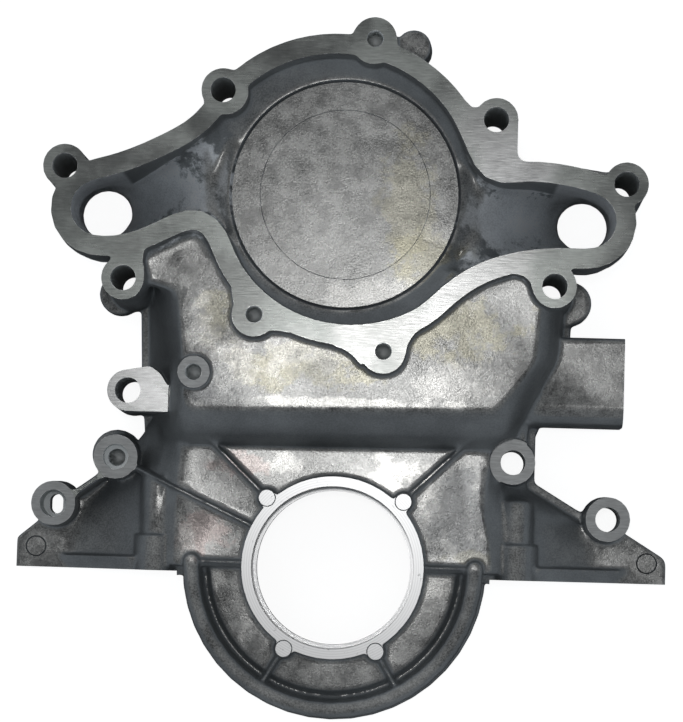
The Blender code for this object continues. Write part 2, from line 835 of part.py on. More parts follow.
def build_body():
    """Outside of the casting before anything is cut away."""
    walls = case_rings(RIM_TOP, SHOULDER_LEVEL, BULGE_TOP, 0.0)
    case = stack("case", [(under(), rounded(CASE_FOOT))] + walls)
    rim_foot = rounded(grown(CASE_FOOT, RIM_OUT))
    rim_top = rounded(grown(CASE_FOOT, RIM_OUT - DRAFT))
    rim = stack("rim", [(under(), rim_foot), (RIM_TOP, rim_top)])
    slopes = skirt_rings(EAR_TOP - SKIN / 2, WEB_TOP, 0.0)
    skirt = stack("skirt", [(under(), rounded(SKIRT_FOOT))] + slopes)
    housing = stack("housing", [(HOUSING_BACK, moved_out(OUTER_EDGE, DRAFT)), (over(), OUTER_EDGE)])
    parts = [rim, skirt, housing]
    parts += [post("through", x, y, BOSS_R + DRAFT, under(), over(), BOSS_R) for x, y in through_bolts()]
    parts += [post("tapped", x, y, BOSS_R + DRAFT, low, over(), BOSS_R) for x, y, low in tapped_bolts()]
    parts.append(build_land())
    parts += build_rear_webs()
    parts += build_low_bosses()
    parts += build_rail()
    parts.append(build_half_round())
    parts += build_seal_ring()
    parts.append(build_fuel_box())
    return add(case, parts)


def build_ducts():
    """Outer walls of the two water passages, from the ports up to the chamber."""
    parts = []
    for side in (-1, 1):
        levels = [(0.0, 0.0, PORT_WALL_R, PORT_R)]
        for height, reach, _, end_radius in TROUGH[1:-2]:
            levels.append((height - WALL, reach, PORT_WALL_R, end_radius + WALL))
        duct = stack("duct", duct_rings(side, levels))
        low_edge = moved_out(OUTER_EDGE, 1.3 * DRAFT)
        high_edge = moved_out(OUTER_EDGE, -DRAFT / 4)
        fence = stack("fence", [(-PAST, low_edge), (PUMP_FACE + PAST, high_edge)])
        parts.append(keep(duct, [fence]))
    return parts


def beside(bolt, corners):
    """Rounded outline given as seen from a crown bolt."""
    bolt_x, bolt_y = on_crown(*bolt)
    return rounded([(bolt_x + x, bolt_y + y, radius) for x, y, radius in corners])


def build_land():
    """Wide machined land between the upper right bolt and the right passage."""
    return plate("land", beside(CROWN_RIGHT_BOLT, LAND), HOUSING_BACK + 2 * SKIN, over())


def build_rear_webs():
    """Webs behind the pump face that carry the upper bolts down to the block face."""
    lobe_x, lobe_y = on_crown(*TOP_LOBE)
    parts = [
        plate("web_left", beside(CROWN_LEFT_BOLT, WEB_LEFT), under(), HOUSING_BACK + WEB_RISE),
        plate("web_right", beside(CROWN_RIGHT_BOLT, WEB_RIGHT), under(), HOUSING_BACK + WEB_RISE + SKIN),
        plate("shelf", rounded(SHELF), under(), RIM_TOP - SKIN),
        post("top_lobe", lobe_x, lobe_y, TOP_LOBE_R + DRAFT, TOP_LOBE_BACK, TOP_LOBE_FRONT, TOP_LOBE_R),
    ]
    for step, (x, y, radius) in enumerate(LOBES):
        parts.append(post("lobe", x, y, radius, under(), RIM_TOP + SKIN * (1 + step / 2)))
    return parts


def build_low_bosses():
    """Bolt bosses beside and below the chain case, with their rim and the ears."""
    centres = [*LOW_BOSSES, PIN_BOSS, DOWEL_BOSS]
    parts = [post("low", x, y, LOW_BOSS_R + DRAFT, under(), LOW_BOSS_TOP, LOW_BOSS_R) for x, y in centres]
    parts.append(post("dowel_rim", *DOWEL_RIM, DOWEL_RIM_R, under(), RIM_TOP - SKIN / 2))
    parts.append(post("pad", *PAD_BOSS, PAD_BOSS_R + DRAFT, under(), PAD_BOSS_TOP - SKIN / 5, PAD_BOSS_R))
    parts.append(plate("pad_face", rounded(PAD), 2 * SKIN, PAD_BOSS_TOP))
    low = BULGE_TOP - POINTER_DEPTH
    parts.append(post("pointer", *POINTER_BOSS, POINTER_R + DRAFT, low, POINTER_TOP, POINTER_R))
    parts.append(plate("gusset", rounded(GUSSET), under(), BOX_TOP - SKIN))
    for corners, top in ((LEFT_EAR, EAR_TOP), (RIGHT_EAR, RIM_TOP + SKIN / 2)):
        outline = rounded(corners)
        parts.append(stack("ear", [(under(), outline), (top, moved_out(outline, -DRAFT / 2))]))
    parts.append(plate("ear_pad", rounded(EAR_PAD), 2 * SKIN, EAR_TOP))
    return parts


def build_rail():
    """Oil pan rail, thinning towards the ears, with its tapped posts."""
    parts = []
    for side, end_x in ((-1, RAIL_LEFT_END), (1, RAIL_RIGHT_END)):
        shape = bmesh.new()
        loops = []
        low = RAIL_BOTTOM - 1.5 * STOCK
        for x, top in ((RAIL_FROM_X, RAIL_TOP), (RAIL_LEVEL_X, RAIL_TOP), (end_x, EAR_TOP + 2 * SKIN)):
            section = ((RAIL_INNER, RAIL_BACK), (RAIL_INNER, top), (low, top - RAIL_SLOPE), (low, RAIL_BACK))
            loops.append([shape.verts.new((side * x, y, z)) for y, z in section])
        for near, far in zip(loops, loops[1:]):
            for index in range(len(near)):
                shape.faces.new((near[index - 1], near[index], far[index], far[index - 1]))
        shape.faces.new(loops[0])
        shape.faces.new(loops[-1][::-1])
        parts.append(finish(shape, "rail"))
        x = side * PAN_BOLT_X
        parts.append(bar("collar", x, PAN_BOLT_Z, PAN_COLLAR_R, 0.0, PAN_COLLAR_END))
        tip = PAN_POST_R - DRAFT
        parts.append(bar("pan_post", x, PAN_BOLT_Z, PAN_POST_R + DRAFT, 2 * SKIN, PAN_POST_END, tip))
        parts.append(post("knob", side * KNOB_X, KNOB_Y, KNOB_R, KNOB_BACK, LIP_TOP - SKIN, KNOB_TIP_R))
    return parts


def build_half_round():
    """Half round under the crankshaft with its two lips and the panel inside them."""
    lip = LIP_ROUND
    profile = (
        (WEB_INNER_R, 0.0),
        (REAR_LIP_R, 0.0),
        (REAR_LIP_R, REAR_LIP_DEPTH),
        (SEAL_LAND_R, REAR_LIP_DEPTH + lip),
        (SEAL_LAND_R, LIP_TOP - 3 * lip),
        (FRONT_LIP_R, LIP_TOP - 2 * lip),
        (FRONT_LIP_R, LIP_TOP - lip),
        (FRONT_LIP_R - lip, LIP_TOP - lip / 4),
        (FRONT_LIP_R - 2 * lip, LIP_TOP),
        (LIP_INNER_R, LIP_TOP - lip / 2),
        (LIP_INNER_R - lip / 2, GROOVE_TOP),
        (PANEL_R + lip / 2, GROOVE_TOP),
        (PANEL_R - lip / 4, PANEL_TOP),
        (WEB_INNER_R, PANEL_TOP),
    )
    half = turned("half_round", profile, 180, 360, 0, 0, HALF_STEPS)
    reach = REAR_LIP_R - lip
    top = block("closing", (-reach, -lip / 2, lip / 2), (reach, 2 * lip, PANEL_TOP - lip / 2))
    return add(half, [top])


def build_seal_ring():
    """Seal ring, its four small pads and the ribs that run from it."""
    parts = [post("ring", 0, 0, RING_R + DRAFT, HUB_BACK, SEAL_TOP, RING_R, BORE_STEPS)]
    low = WEB_TOP - 3 * LIP_ROUND
    high = SEAL_TOP + RING_PAD_RISE
    for x, y in RING_PADS:
        parts.append(post("ring_pad", x, y, RING_PAD_R + DRAFT, low, high, RING_PAD_R))
    for start, end, top_start, top_end, foot in RIB_RUNS:
        parts.append(rib("rib", start, end, foot, top_start, top_end))
    for start, angle, top_start, top_end in LIP_RIBS:
        end = turn(0, 0, SEAL_LAND_R - LIP_RIB_IN, SEAL_LAND_R, angle, angle, 2)[0]
        parts.append(rib("lip_rib", start, end, LIP_RIB_FOOT, top_start, top_end))
    return parts


def build_fuel_box():
    """Box whose outer end carries the fuel pump."""
    shape = bmesh.new()
    bmesh.ops.create_cube(shape, size=1)
    for vert in shape.verts:
        vert.co = (
            BOX_FACE if vert.co.x > 0 else BOX_LEFT,
            BOX_HIGH if vert.co.y > 0 else BOX_LOW,
            BOX_TOP if vert.co.z > 0 else BOX_BACK,
        )
    for y, radius, steps in ((BOX_LOW, BOX_BEVEL_Z, 3), (BOX_HIGH, BOX_EDGE_R / 2, 2)):
        edges = [
            edge
            for edge in shape.edges
            if all(abs(vert.co.y - y) < WELD and abs(vert.co.z - BOX_TOP) < WELD for vert in edge.verts)
        ]
        bmesh.ops.bevel(shape, geom=edges, offset=radius, segments=steps, profile=0.5, affect="EDGES")
    return finish(shape, "fuel_box")


def build_chamber():
    """Everything hollow behind the pump face: chamber, volute cove and both passages."""
    top = PUMP_FACE + PAST
    foot = DISC_R + GROOVE_W
    cove = []
    for step in range(COVE_STEPS + 1):
        angle = math.pi / 2 * step / COVE_STEPS
        rise = COVE_RISE * (1 - math.cos(angle))
        cove.append((foot + (COVE_R - foot) * math.sin(angle), CHAMBER_FLOOR + rise))
    floor = [
        (AXIS_GAP, CHAMBER_FLOOR),
        (DISC_R, CHAMBER_FLOOR),
        (DISC_R + GROOVE_W / 4, CHAMBER_FLOOR - GROOVE_DEPTH),
        (DISC_R + 3 * GROOVE_W / 4, CHAMBER_FLOOR - GROOVE_DEPTH),
    ]
    reach = COVE_R + BAND_WIDTH
    outline = floor + cove + [(reach, CHAMBER_FLOOR + COVE_RISE), (reach, top), (AXIS_GAP, top)]
    hollow = turned("hollow", outline, 0, 360, CHAMBER_X, CHAMBER_Y, CHAMBER_STEPS)
    core = post("core", CHAMBER_X, CHAMBER_Y, 2 * SKIN, CHAMBER_FLOOR, top - 2 * SKIN)
    parts = [core]
    for side in (-1, 1):
        levels = [(height, reach, PORT_R + spread, end) for height, reach, spread, end in TROUGH]
        disc = post("disc", CHAMBER_X, CHAMBER_Y, foot + COVE_RISE, 0.0, CHAMBER_FLOOR, foot, CHAMBER_STEPS)
        parts.append(cut(stack("trough", duct_rings(side, levels)), [disc]))
    hollow = add(hollow, parts)
    low_edge = moved_out(INNER_EDGE, -3 * DRAFT)
    high_edge = moved_out(INNER_EDGE, DRAFT / 4)
    fence = stack("fence", [(PAST, low_edge), (PUMP_FACE + 2 * PAST, high_edge)])
    return keep(hollow, [fence])


def build_cavity():
    """Chain case hollow, open at the block face."""
    rings = [(-PAST, rounded(grown(CASE_FOOT, -WALL)))]
    ceiling = CHAMBER_FLOOR - WALL
    walls = case_rings(RIM_TOP, SHOULDER_LEVEL - 2 * SKIN, BULGE_TOP, WALL)
    rings += walls[:2]
    rings.append((ceiling, between(walls[1][1], walls[2][1], CEILING_PART)))
    hollow = stack("cavity", rings)
    front = rounded(NOSE)
    nose = stack("nose", [(HOUSING_BACK - 2 * WALL, moved_out(front, WALL / 2)), (BULGE_TOP - WALL, front)])
    skirt = [(-PAST, rounded(grown(SKIRT_FOOT, -WALL)))]
    skirt += skirt_rings(EAR_TOP - WALL - 2 * SKIN, WEB_TOP - WALL, WALL)
    low_fence = block("low_fence", (-FAR, SKIRT_HOLLOW_LOW, -1.5 * PAST), (FAR, FAR, FAR))
    skirt_hollow = keep(stack("skirt_hollow", skirt), [low_fence])
    reach = SEAL_LAND_R - WALL
    roof = PANEL_TOP - WALL
    profile = ((AXIS_GAP, -PAST), (reach, -PAST), (reach, roof), (AXIS_GAP, roof))
    well = turned("well", profile, 0, 360, 0, 0, BORE_STEPS)
    well = add(well, [post("well_core", 0, 0, 2 * SKIN, SKIN - PAST, roof - SKIN)])
    arm = block(
        "arm",
        (BOX_LEFT - WALL, BOX_LOW + WALL, BOX_BACK + WALL),
        (BOX_FACE - WALL, BOX_HIGH - WALL, BOX_TOP - WALL),
    )
    hollow = add(hollow, [nose, skirt_hollow, well, arm])
    bolt = post("inner_bolt", *THROUGH_BOLTS[-1], BOSS_R - DRAFT, -2 * PAST, PUMP_FACE)
    spot = LOW_BOSS_R + SPOTFACE_GAP + SPOTFACE_WALL
    return cut(hollow, [bolt, post("inner_spot", *LOW_BOSSES[0], spot, -2 * PAST, PUMP_FACE)])


def build():
    """The whole casting."""
    body = build_body()
    side_x = REAR_LIP_R + STOCK
    rail_low = RAIL_BOTTOM - 3 * STOCK
    faced = [
        block("block_facing", (-FAR, -FAR, -FAR), (FAR, 2 * FAR, 0.0)),
        block("pump_facing", (-FAR, -FAR, PUMP_FACE), (FAR, 2 * FAR, FAR)),
        block("rail_left", (-FAR, rail_low, -FAR), (-side_x, RAIL_BOTTOM, FAR)),
        block("rail_right", (side_x, rail_low, -FAR), (FAR, RAIL_BOTTOM, FAR)),
    ]
    body = cut(body, faced)
    body = cut(body, [build_cavity()])
    body = add(body, build_ducts())
    hub_top = SEAL_TOP - 2 * SKIN
    body = add(body, [post("hub", 0, 0, RING_R, HUB_BACK, hub_top, RING_R - DRAFT, BORE_STEPS)])
    body = cut(body, [build_chamber()])
    floor = PUMP_FACE - TAP_DEPTH
    low = floor - TAP_BACK_DEPTH
    backs = [post("tap_back", x, y, TAP_BACK_R, low, floor + WEB_RISE) for x, y in BELLY_TAPPED_BOLTS]
    backs.append(post("pointer_back", *POINTER_BOSS, POINTER_R, POINTER_BACK, BULGE_TOP - WEB_RISE))
    body = add(body, backs)
    return cut(body, build_holes() + build_fuel_holes())


def build_holes():
    """Ports, bolt holes, tapped holes and the seal bore."""
    low = -PAST
    high = PUMP_FACE + PAST
    holes = [post("port", side * PORT_X, PORT_Y, PORT_R, low, DUCT_TOP) for side in (-1, 1)]
    holes += [post("bolt", x, y, THROUGH_R, low, high) for x, y in through_bolts()]
    holes += [post("low_bolt", x, y, THROUGH_R, low, high) for x, y in LOW_BOSSES]
    holes.append(post("spotface", *LOW_BOSSES[0], LOW_BOSS_R + SPOTFACE_GAP, LOW_BOSS_TOP, SPOTFACE_TOP))
    holes.append(post("pin_hole", *PIN_BOSS, PIN_R, PIN_FLOOR, high))
    ends = [(PIN_BOSS[0] - SLOT_SHIFT, PIN_BOSS[1] + side * SLOT_HALF, SLOT_R) for side in (-1, 1)]
    slot = hull(ends, CIRCLE_STEPS)
    holes.append(stack("slot", [(low, slot), (PIN_FLOOR + SKIN, slot)]))
    holes.append(post("dowel_bore", *DOWEL_BOSS, COUNTERBORE_R, LOW_BOSS_TOP - COUNTERBORE_DEPTH, high))
    holes.append(post("dowel_tap", *DOWEL_BOSS, TAP_MOUTH_R, LOW_BOSS_TOP - DOWEL_TAP_DEPTH, LOW_BOSS_TOP))
    holes.append(post("pad_bolt", *PAD_BOSS, PAD_BOLT_R, low, high))
    high_mouth = PUMP_FACE + SKIN / 5
    low_mouth = PUMP_FACE - TAP_MOUTH_DEPTH
    for x, y, _ in tapped_bolts():
        holes.append(post("tap", x, y, TAP_R, PUMP_FACE - TAP_DEPTH, high))
        holes.append(post("tap_mouth", x, y, TAP_R, low_mouth, high_mouth, TAP_MOUTH_R))
    holes.append(post("pointer_tap", *POINTER_BOSS, TAP_R, POINTER_TOP - POINTER_TAP_DEPTH, high))
    holes.append(post("bore", 0, 0, BORE_R, SHOULDER_TOP, high, None, BORE_STEPS))
    holes.append(post("shoulder", 0, 0, SHOULDER_R, low, SHOULDER_TOP + 2 * SKIN, None, BORE_STEPS))
    for side in (-1, 1):
        end = RAIL_BOTTOM + PAN_TAP_DEPTH
        holes.append(bar("pan_tap", side * PAN_BOLT_X, PAN_BOLT_Z, TAP_R, RAIL_BOTTOM - PAST, end))
    return holes


def build_fuel_holes():
    """Window for the fuel pump arm and the two tapped holes beside it."""
    middle_y = (BOX_LOW + BOX_HIGH) / 2
    middle_z = (BOX_BACK + BOX_TOP) / 2
    low = (BOX_FACE - 2 * WALL, middle_y - WINDOW_Y / 2, middle_z - WINDOW_Z / 2)
    high = (BOX_FACE + PAST, middle_y + WINDOW_Y / 2, middle_z + WINDOW_Z / 2)
    holes = [block("window", low, high)]
    for side in (-1, 1):
        y = middle_y + side * BOX_TAP_SPREAD
        holes.append(rod("pad_tap", y, middle_z - 4 * SKIN, TAP_R, BOX_FACE - BOX_TAP_DEPTH, BOX_FACE + PAST))
    return holes


def main():
    """Build the cover, centre it over its gasket face and give it its material."""
    cover = build()
    CUTTERS.objects.unlink(cover)
    COVER.objects.link(cover)
    cover.name = NAME
    cover.data.name = NAME
    cover.hide_render = False
    cover.display_type = "TEXTURED"
    shape = bmesh.new()
    shape.from_mesh(cover.data)
    bmesh.ops.dissolve_limit(shape, angle_limit=FLAT_ANGLE, verts=shape.verts, edges=shape.edges)
    bmesh.ops.remove_doubles(shape, verts=shape.verts, dist=10 * WELD)
    loose = [edge for edge in shape.edges if not edge.link_faces]
    bmesh.ops.delete(shape, geom=loose, context="EDGES")
    low = [min(v.co[axis] for v in shape.verts) for axis in range(3)]
    high = [max(v.co[axis] for v in shape.verts) for axis in range(3)]
    centre = ((low[0] + high[0]) / 2, (low[1] + high[1]) / 2, low[2])
    bmesh.ops.translate(shape, verts=shape.verts, vec=[-value for value in centre])
    bmesh.ops.triangulate(shape, faces=shape.faces)
    bmesh.ops.recalc_face_normals(shape, faces=shape.faces)
    shape.to_mesh(cover.data)
    shape.free()
    metal = bpy.data.materials.new("cast_aluminium")
    metal.use_nodes = True
    paint = metal.node_tree.nodes["Principled BSDF"]
    paint.inputs["Base Color"].default_value = METAL_COLOUR
    paint.inputs["Metallic"].default_value = 1.0
    paint.inputs["Roughness"].default_value = METAL_ROUGHNESS
    cover.data.materials.clear()
    cover.data.materials.append(metal)


FEET = []
HEADS = []

for leftover in list(bpy.data.objects):
    bpy.data.objects.remove(leftover)

COVER = bpy.data.collections.new(NAME)
CUTTERS = bpy.data.collections.new("cutters")
CUTTERS.hide_render = True
bpy.context.scene.collection.children.link(COVER)
bpy.context.scene.collection.children.link(CUTTERS)

main()
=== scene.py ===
"""Engine timing cover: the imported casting, finished as the real part is.

The form comes out of the mould with soft corners and spare metal, is then faced, bored and tapped,
and gets its cast and machined surfaces. Metres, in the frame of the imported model.
"""

import logging
import math
from dataclasses import dataclass
from dataclasses import field
from enum import Enum

import bmesh
import bpy
import numpy as np
from mathutils import Matrix
from mathutils import Vector


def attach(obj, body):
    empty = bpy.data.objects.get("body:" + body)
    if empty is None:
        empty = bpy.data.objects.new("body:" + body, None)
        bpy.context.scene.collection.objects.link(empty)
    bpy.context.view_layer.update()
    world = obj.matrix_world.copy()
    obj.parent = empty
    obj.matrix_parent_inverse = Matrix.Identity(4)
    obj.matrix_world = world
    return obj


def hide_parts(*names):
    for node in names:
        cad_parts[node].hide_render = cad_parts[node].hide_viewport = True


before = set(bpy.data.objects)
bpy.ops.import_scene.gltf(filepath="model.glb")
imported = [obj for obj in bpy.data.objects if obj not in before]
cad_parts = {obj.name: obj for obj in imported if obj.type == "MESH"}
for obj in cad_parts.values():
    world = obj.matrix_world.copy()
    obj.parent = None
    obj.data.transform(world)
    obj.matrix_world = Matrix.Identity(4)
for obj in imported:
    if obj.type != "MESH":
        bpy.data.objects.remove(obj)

NODE = "timing_cover"
CRANK_X = -0.002886
CRANK_Y = -0.090559
PUMP_FACE = 0.066
TAP_RADIUS = 0.0036
TAP_PITCH = 0.00141
PICTURE_WIDTH = 683
log = logging.getLogger("timing_cover")

Item = bpy.types.Object
Node = bpy.types.Node
Socket = bpy.types.NodeSocket
Pair = tuple[float, float]
Triple = tuple[float, float, float]


class Skin(Enum):
    """Surfaces of the cover, in the order of its material slots."""

    CAST = 0
    MILLED = 1
    TURNED = 2
    DRILLED = 3
    SPOTFACED = 4


class Axis(Enum):
    """Direction that a hole is drilled from."""

    FRONT = "front"
    PAN = "pan"
    SIDE = "side"

    def turn(self) -> Matrix:
        """Find how an upright tool is turned to lie this way.

        Returns:
            The turn.
        """
        if self is Axis.FRONT:
            return Matrix.Identity(4)
        if self is Axis.PAN:
            return Matrix.Rotation(-math.pi / 2, 4, "X")
        return Matrix.Rotation(math.pi / 2, 4, "Y")


def row(x: float, y: float, z: float = 0.0) -> Vector:
    """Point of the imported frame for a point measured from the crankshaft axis."""
    return Vector((x + CRANK_X, y + CRANK_Y, z))


def linked(name: str, shape: bmesh.types.BMesh) -> Item:
    """Turn a bmesh into a linked object.

    Args:
        name: Name of the new object.
        shape: Mesh data, which is freed.

    Returns:
        The new object, at the origin.
    """
    mesh = bpy.data.meshes.new(name)
    bmesh.ops.recalc_face_normals(shape, faces=shape.faces)
    shape.to_mesh(mesh)
    shape.free()
    item = bpy.data.objects.new(name, mesh)
    bpy.context.scene.collection.objects.link(item)
    return item


def baked(item: Item) -> None:
    """Replace an object's mesh by what its modifiers make of it.

    Args:
        item: The object.
    """
    bpy.context.view_layer.update()
    graph = bpy.context.evaluated_depsgraph_get()
    mesh = bpy.data.meshes.new_from_object(item.evaluated_get(graph))
    old = item.data
    item.modifiers.clear()
    item.data = mesh
    bpy.data.meshes.remove(old)


def combine(item: Item, tools: list[Item], metal: bpy.types.Material, operation: str = "DIFFERENCE") -> None:
    """Boolean closed tools into or out of an object, then drop the tools.

    Args:
        item: The object that changes.
        tools: Closed objects.
        metal: Material of the surface that they leave.
        operation: UNION or DIFFERENCE.
    """
    for tool in tools:
        tool.data.materials.append(metal)
        step = item.modifiers.new(tool.name, "BOOLEAN")
        step.operation = operation
        step.solver = "MANIFOLD"
        step.object = tool
        baked(item)
        bpy.data.objects.remove(tool)


def cylinder(
    name: str,
    centre: Vector,
    radius: float,
    length: float,
    axis: Axis = Axis.FRONT,
    steps: int = 72,
) -> Item:
    """Make a closed round bar.

    Args:
        name: Name of the object.
        centre: Middle of the bar.
        radius: Radius of the bar.
        length: Length along its axis.
        axis: Axis it lies along.
        steps: Sides of the bar.

    Returns:
        The bar.
    """
    place = Matrix.Translation(centre) @ axis.turn()
    sizes = {"radius1": radius, "radius2": radius, "depth": length}
    shape = bmesh.new()
    bmesh.ops.create_cone(shape, cap_ends=True, segments=steps, matrix=place, **sizes)
    return linked(name, shape)


def box(name: str, low: Vector, high: Vector) -> Item:
    """Make a closed upright box.

    Args:
        name: Name of the object.
        low: Its lowest corner.
        high: The corner opposite.

    Returns:
        The box.
    """
    shape = bmesh.new()
    bmesh.ops.create_cube(shape, size=1)
    bmesh.ops.scale(shape, verts=shape.verts, vec=high - low)
    bmesh.ops.translate(shape, verts=shape.verts, vec=(low + high) / 2)
    return linked(name, shape)


def prism(name: str, outline: list[Vector], low: float, high: float) -> Item:
    """Make an upright prism.

    Args:
        name: Name of the object.
        outline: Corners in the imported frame.
        low: Height of its foot.
        high: Height of its top.

    Returns:
        The prism.
    """
    shape = bmesh.new()
    floor = shape.faces.new([shape.verts.new((spot.x, spot.y, low)) for spot in outline])
    raised = bmesh.ops.extrude_face_region(shape, geom=[floor])["geom"]
    moved = [item for item in raised if isinstance(item, bmesh.types.BMVert)]
    bmesh.ops.translate(shape, verts=moved, vec=(0.0, 0.0, high - low))
    return linked(name, shape)


def slab(name: str, start: Vector, end: Vector, width: float, depth: float) -> Item:
    """Make a straight bar with upright sides.

    Args:
        name: Name of the object.
        start: Middle of its top at one end.
        end: Middle of its top at the other end.
        width: Its width.
        depth: Its height.

    Returns:
        The bar.
    """
    way = Vector((end.x - start.x, end.y - start.y, 0.0)).normalized()
    side = Vector((-way.y, way.x, 0.0)) * width / 2
    item = prism(name, [start + side, start - side, end - side, end + side], 0.0, 1.0)
    for vert in item.data.vertices:
        tall = start.z if (vert.co.xy - start.xy).length < (vert.co.xy - end.xy).length else end.z
        vert.co.z = tall - depth * (1.0 - vert.co.z)
    return item


def turned(name: str, profile: list[Pair], centre: Vector, steps: int) -> Item:
    """Turn a ring about an upright axis.

    Args:
        name: Name of the object.
        profile: Closed outline as (radius, height) points, none of them on the axis.
        centre: Point that the axis runs through.
        steps: Steps of the full turn.

    Returns:
        The ring.
    """
    shape = bmesh.new()
    verts = [shape.verts.new((radius, 0.0, height)) for radius, height in profile]
    edges = [shape.edges.new((verts[index - 1], verts[index])) for index in range(len(verts))]
    way = {"cent": (0, 0, 0), "axis": (0, 0, 1), "angle": math.tau}
    bmesh.ops.spin(shape, geom=verts + edges, steps=steps, use_merge=True, **way)
    bmesh.ops.remove_doubles(shape, verts=shape.verts, dist=1e-7)
    bmesh.ops.translate(shape, verts=shape.verts, vec=(centre.x, centre.y, 0.0))
    return linked(name, shape)


@dataclass(frozen=True)
class Patch:
    """Stain, rubbed spot, dark patch, painted highlight or painted shade on a surface, as seen from the
    front and from the crankshaft axis.
    """

    x: float
    y: float
    width: float
    height: float
    colour: Triple
    strength: float = 0.7


EVEN = (1.0, 1.0, 1.0)
NOISE_MIDDLE = (0.3, 0.7)
CLEAN_EDGE = 0.5
PATCH_FADE = (0.62, 1.15)
PATCH_Z = 0.04
PATCH_DEPTH = 0.2
PATCH_RAGGED = 0.60


@dataclass(frozen=True)
class Graph:
    """Small helper that adds and links shader nodes in one material."""

    tree: bpy.types.NodeTree

    def fill(self, node: Node, inputs: dict) -> None:
        """Link sockets to a node's inputs, or set them to plain values.

        Args:
            node: The node.
            inputs: What goes into each input.
        """
        for name, value in inputs.items():
            if isinstance(value, Socket):
                self.tree.links.new(value, node.inputs[name])
            else:
                node.inputs[name].default_value = value

    def add(self, kind: str, inputs: dict, output: str | int = 0, **settings: object) -> Socket:
        """Add a node.

        Args:
            kind: Type of the node.
            inputs: What goes into each input.
            output: The output that is wanted.
            settings: Properties of the node.

        Returns:
            That output.
        """
        node = self.tree.nodes.new(kind)
        for key, value in settings.items():
            setattr(node, key, value)
        self.fill(node, inputs)
        return node.outputs[output]

    def noise(self, scale: float, detail: float, rough: float, vector: Socket) -> Socket:
        """Fractal noise from 0 to 1 at a scale per metre."""
        inputs = {"Scale": scale, "Detail": detail, "Roughness": rough, "Vector": vector}
        return self.add("ShaderNodeTexNoise", inputs, "Fac")

    def stretched(self, scale: Triple = EVEN, turn: float = 0.0) -> Socket:
        """Object coordinates, scaled along each axis and turned about Z."""
        place = self.add("ShaderNodeTexCoord", {}, "Object")
        return self.add("ShaderNodeMapping", {"Vector": place, "Rotation": (0.0, 0.0, turn), "Scale": scale})

    def centred(self, centre: Triple, size: Triple = EVEN) -> Socket:
        """Object coordinates from a centre, in units of a size."""
        inputs = {"Vector": self.add("ShaderNodeTexCoord", {}, "Object"), "Location": centre, "Scale": size}
        return self.add("ShaderNodeMapping", inputs, vector_type="TEXTURE")

    def span(self, value: object, low: float, high: float, least: float = 0.0, most: float = 1.0) -> Socket:
        """Map a value smoothly from one range to another, clamped."""
        inputs = {"Value": value, "From Min": low, "From Max": high, "To Min": least, "To Max": most}
        return self.add("ShaderNodeMapRange", inputs, "Result", interpolation_type="SMOOTHSTEP")

    def swing(self, noise: object, low: float, high: float) -> Socket:
        """Spread the middle of a noise over a range."""
        return self.span(noise, *NOISE_MIDDLE, low, high)

    def math(self, operation: str, first: object, second: object) -> Socket:
        """Arithmetic on two values."""
        return self.add("ShaderNodeMath", {0: first, 1: second}, operation=operation)

    def blend(self, part: object, first: object, second: object, mode: str = "MIX") -> Socket:
        """Mix two colours."""
        inputs = {0: part, 6: first, 7: second}
        return self.add("ShaderNodeMix", inputs, 2, data_type="RGBA", blend_type=mode)

    def toned(self, tint: object, tone: Socket) -> Socket:
        """Make a colour as bright as a tone says."""
        grey = self.add("ShaderNodeCombineColor", {0: tone, 1: tone, 2: tone})
        return self.blend(1.0, tint, grey, "MULTIPLY")

    def facing(self) -> Socket:
        """How far the surface faces the front of the engine, from -1 to 1."""
        normal = self.add("ShaderNodeNewGeometry", {}, "Normal")
        return self.add("ShaderNodeSeparateXYZ", {0: normal}, "Z")

    def spot(self, patch: Patch, ragged: object, fade: Pair = PATCH_FADE) -> Socket:
        """Find how far a surface lies in a soft ragged patch seen from the front.

        Args:
            patch: The patch.
            ragged: Noise from 0 to 1 that breaks its edge, or CLEAN_EDGE.
            fade: Where the patch starts to fade and where it ends, as shares of its size.

        Returns:
            1 inside the patch, falling to 0 outside it.
        """
        centre = (patch.x + CRANK_X, patch.y + CRANK_Y, PATCH_Z)
        place = self.centred(centre, (patch.width, patch.height, PATCH_DEPTH))
        reach = self.add("ShaderNodeVectorMath", {0: place}, "Value", operation="LENGTH")
        reach = self.math("ADD", reach, self.swing(ragged, -PATCH_RAGGED, PATCH_RAGGED))
        return self.span(reach, *fade, 1.0, 0.0)

    def lay(
        self,
        tint: object,
        patches: tuple[Patch, ...],
        ragged: object,
        fade: Pair = PATCH_FADE,
        within: Socket | None = None,
    ) -> object:
        """Lay patches over a colour.

        Args:
            tint: The colour below them.
            patches: The patches, lowest first.
            ragged: Noise that breaks their edges, or CLEAN_EDGE.
            fade: Where each starts to fade and where it ends.
            within: Mask that they stay in.

        Returns:
            The colour with its patches.
        """
        for patch in patches:
            part = self.spot(patch, ragged, fade)
            if within is not None:
                part = self.math("MULTIPLY", part, within)
            tint = self.blend(self.math("MULTIPLY", part, patch.strength), tint, (*patch.colour, 1.0))
        return tint

    def edges(self, radius: float) -> Socket:
        """Find how close the surface is to a sharp edge.

        Args:
            radius: How far from an edge it shows.

        Returns:
            0 on a face, rising to 1 on an edge.
        """
        soft = self.add("ShaderNodeBevel", {"Radius": radius}, samples=6)
        true = self.add("ShaderNodeNewGeometry", {}, "Normal")
        dot = self.add("ShaderNodeVectorMath", {0: soft, 1: true}, "Value", operation="DOT_PRODUCT")
        return self.span(dot, 0.995, 0.90)

    def bump(self, strength: float, depth: float, height: Socket, below: Socket | None = None) -> Socket:
        """Bump from a height, on top of another bump when one is given."""
        inputs = {"Strength": strength, "Distance": depth, "Height": height}
        return self.add("ShaderNodeBump", inputs if below is None else {**inputs, "Normal": below})


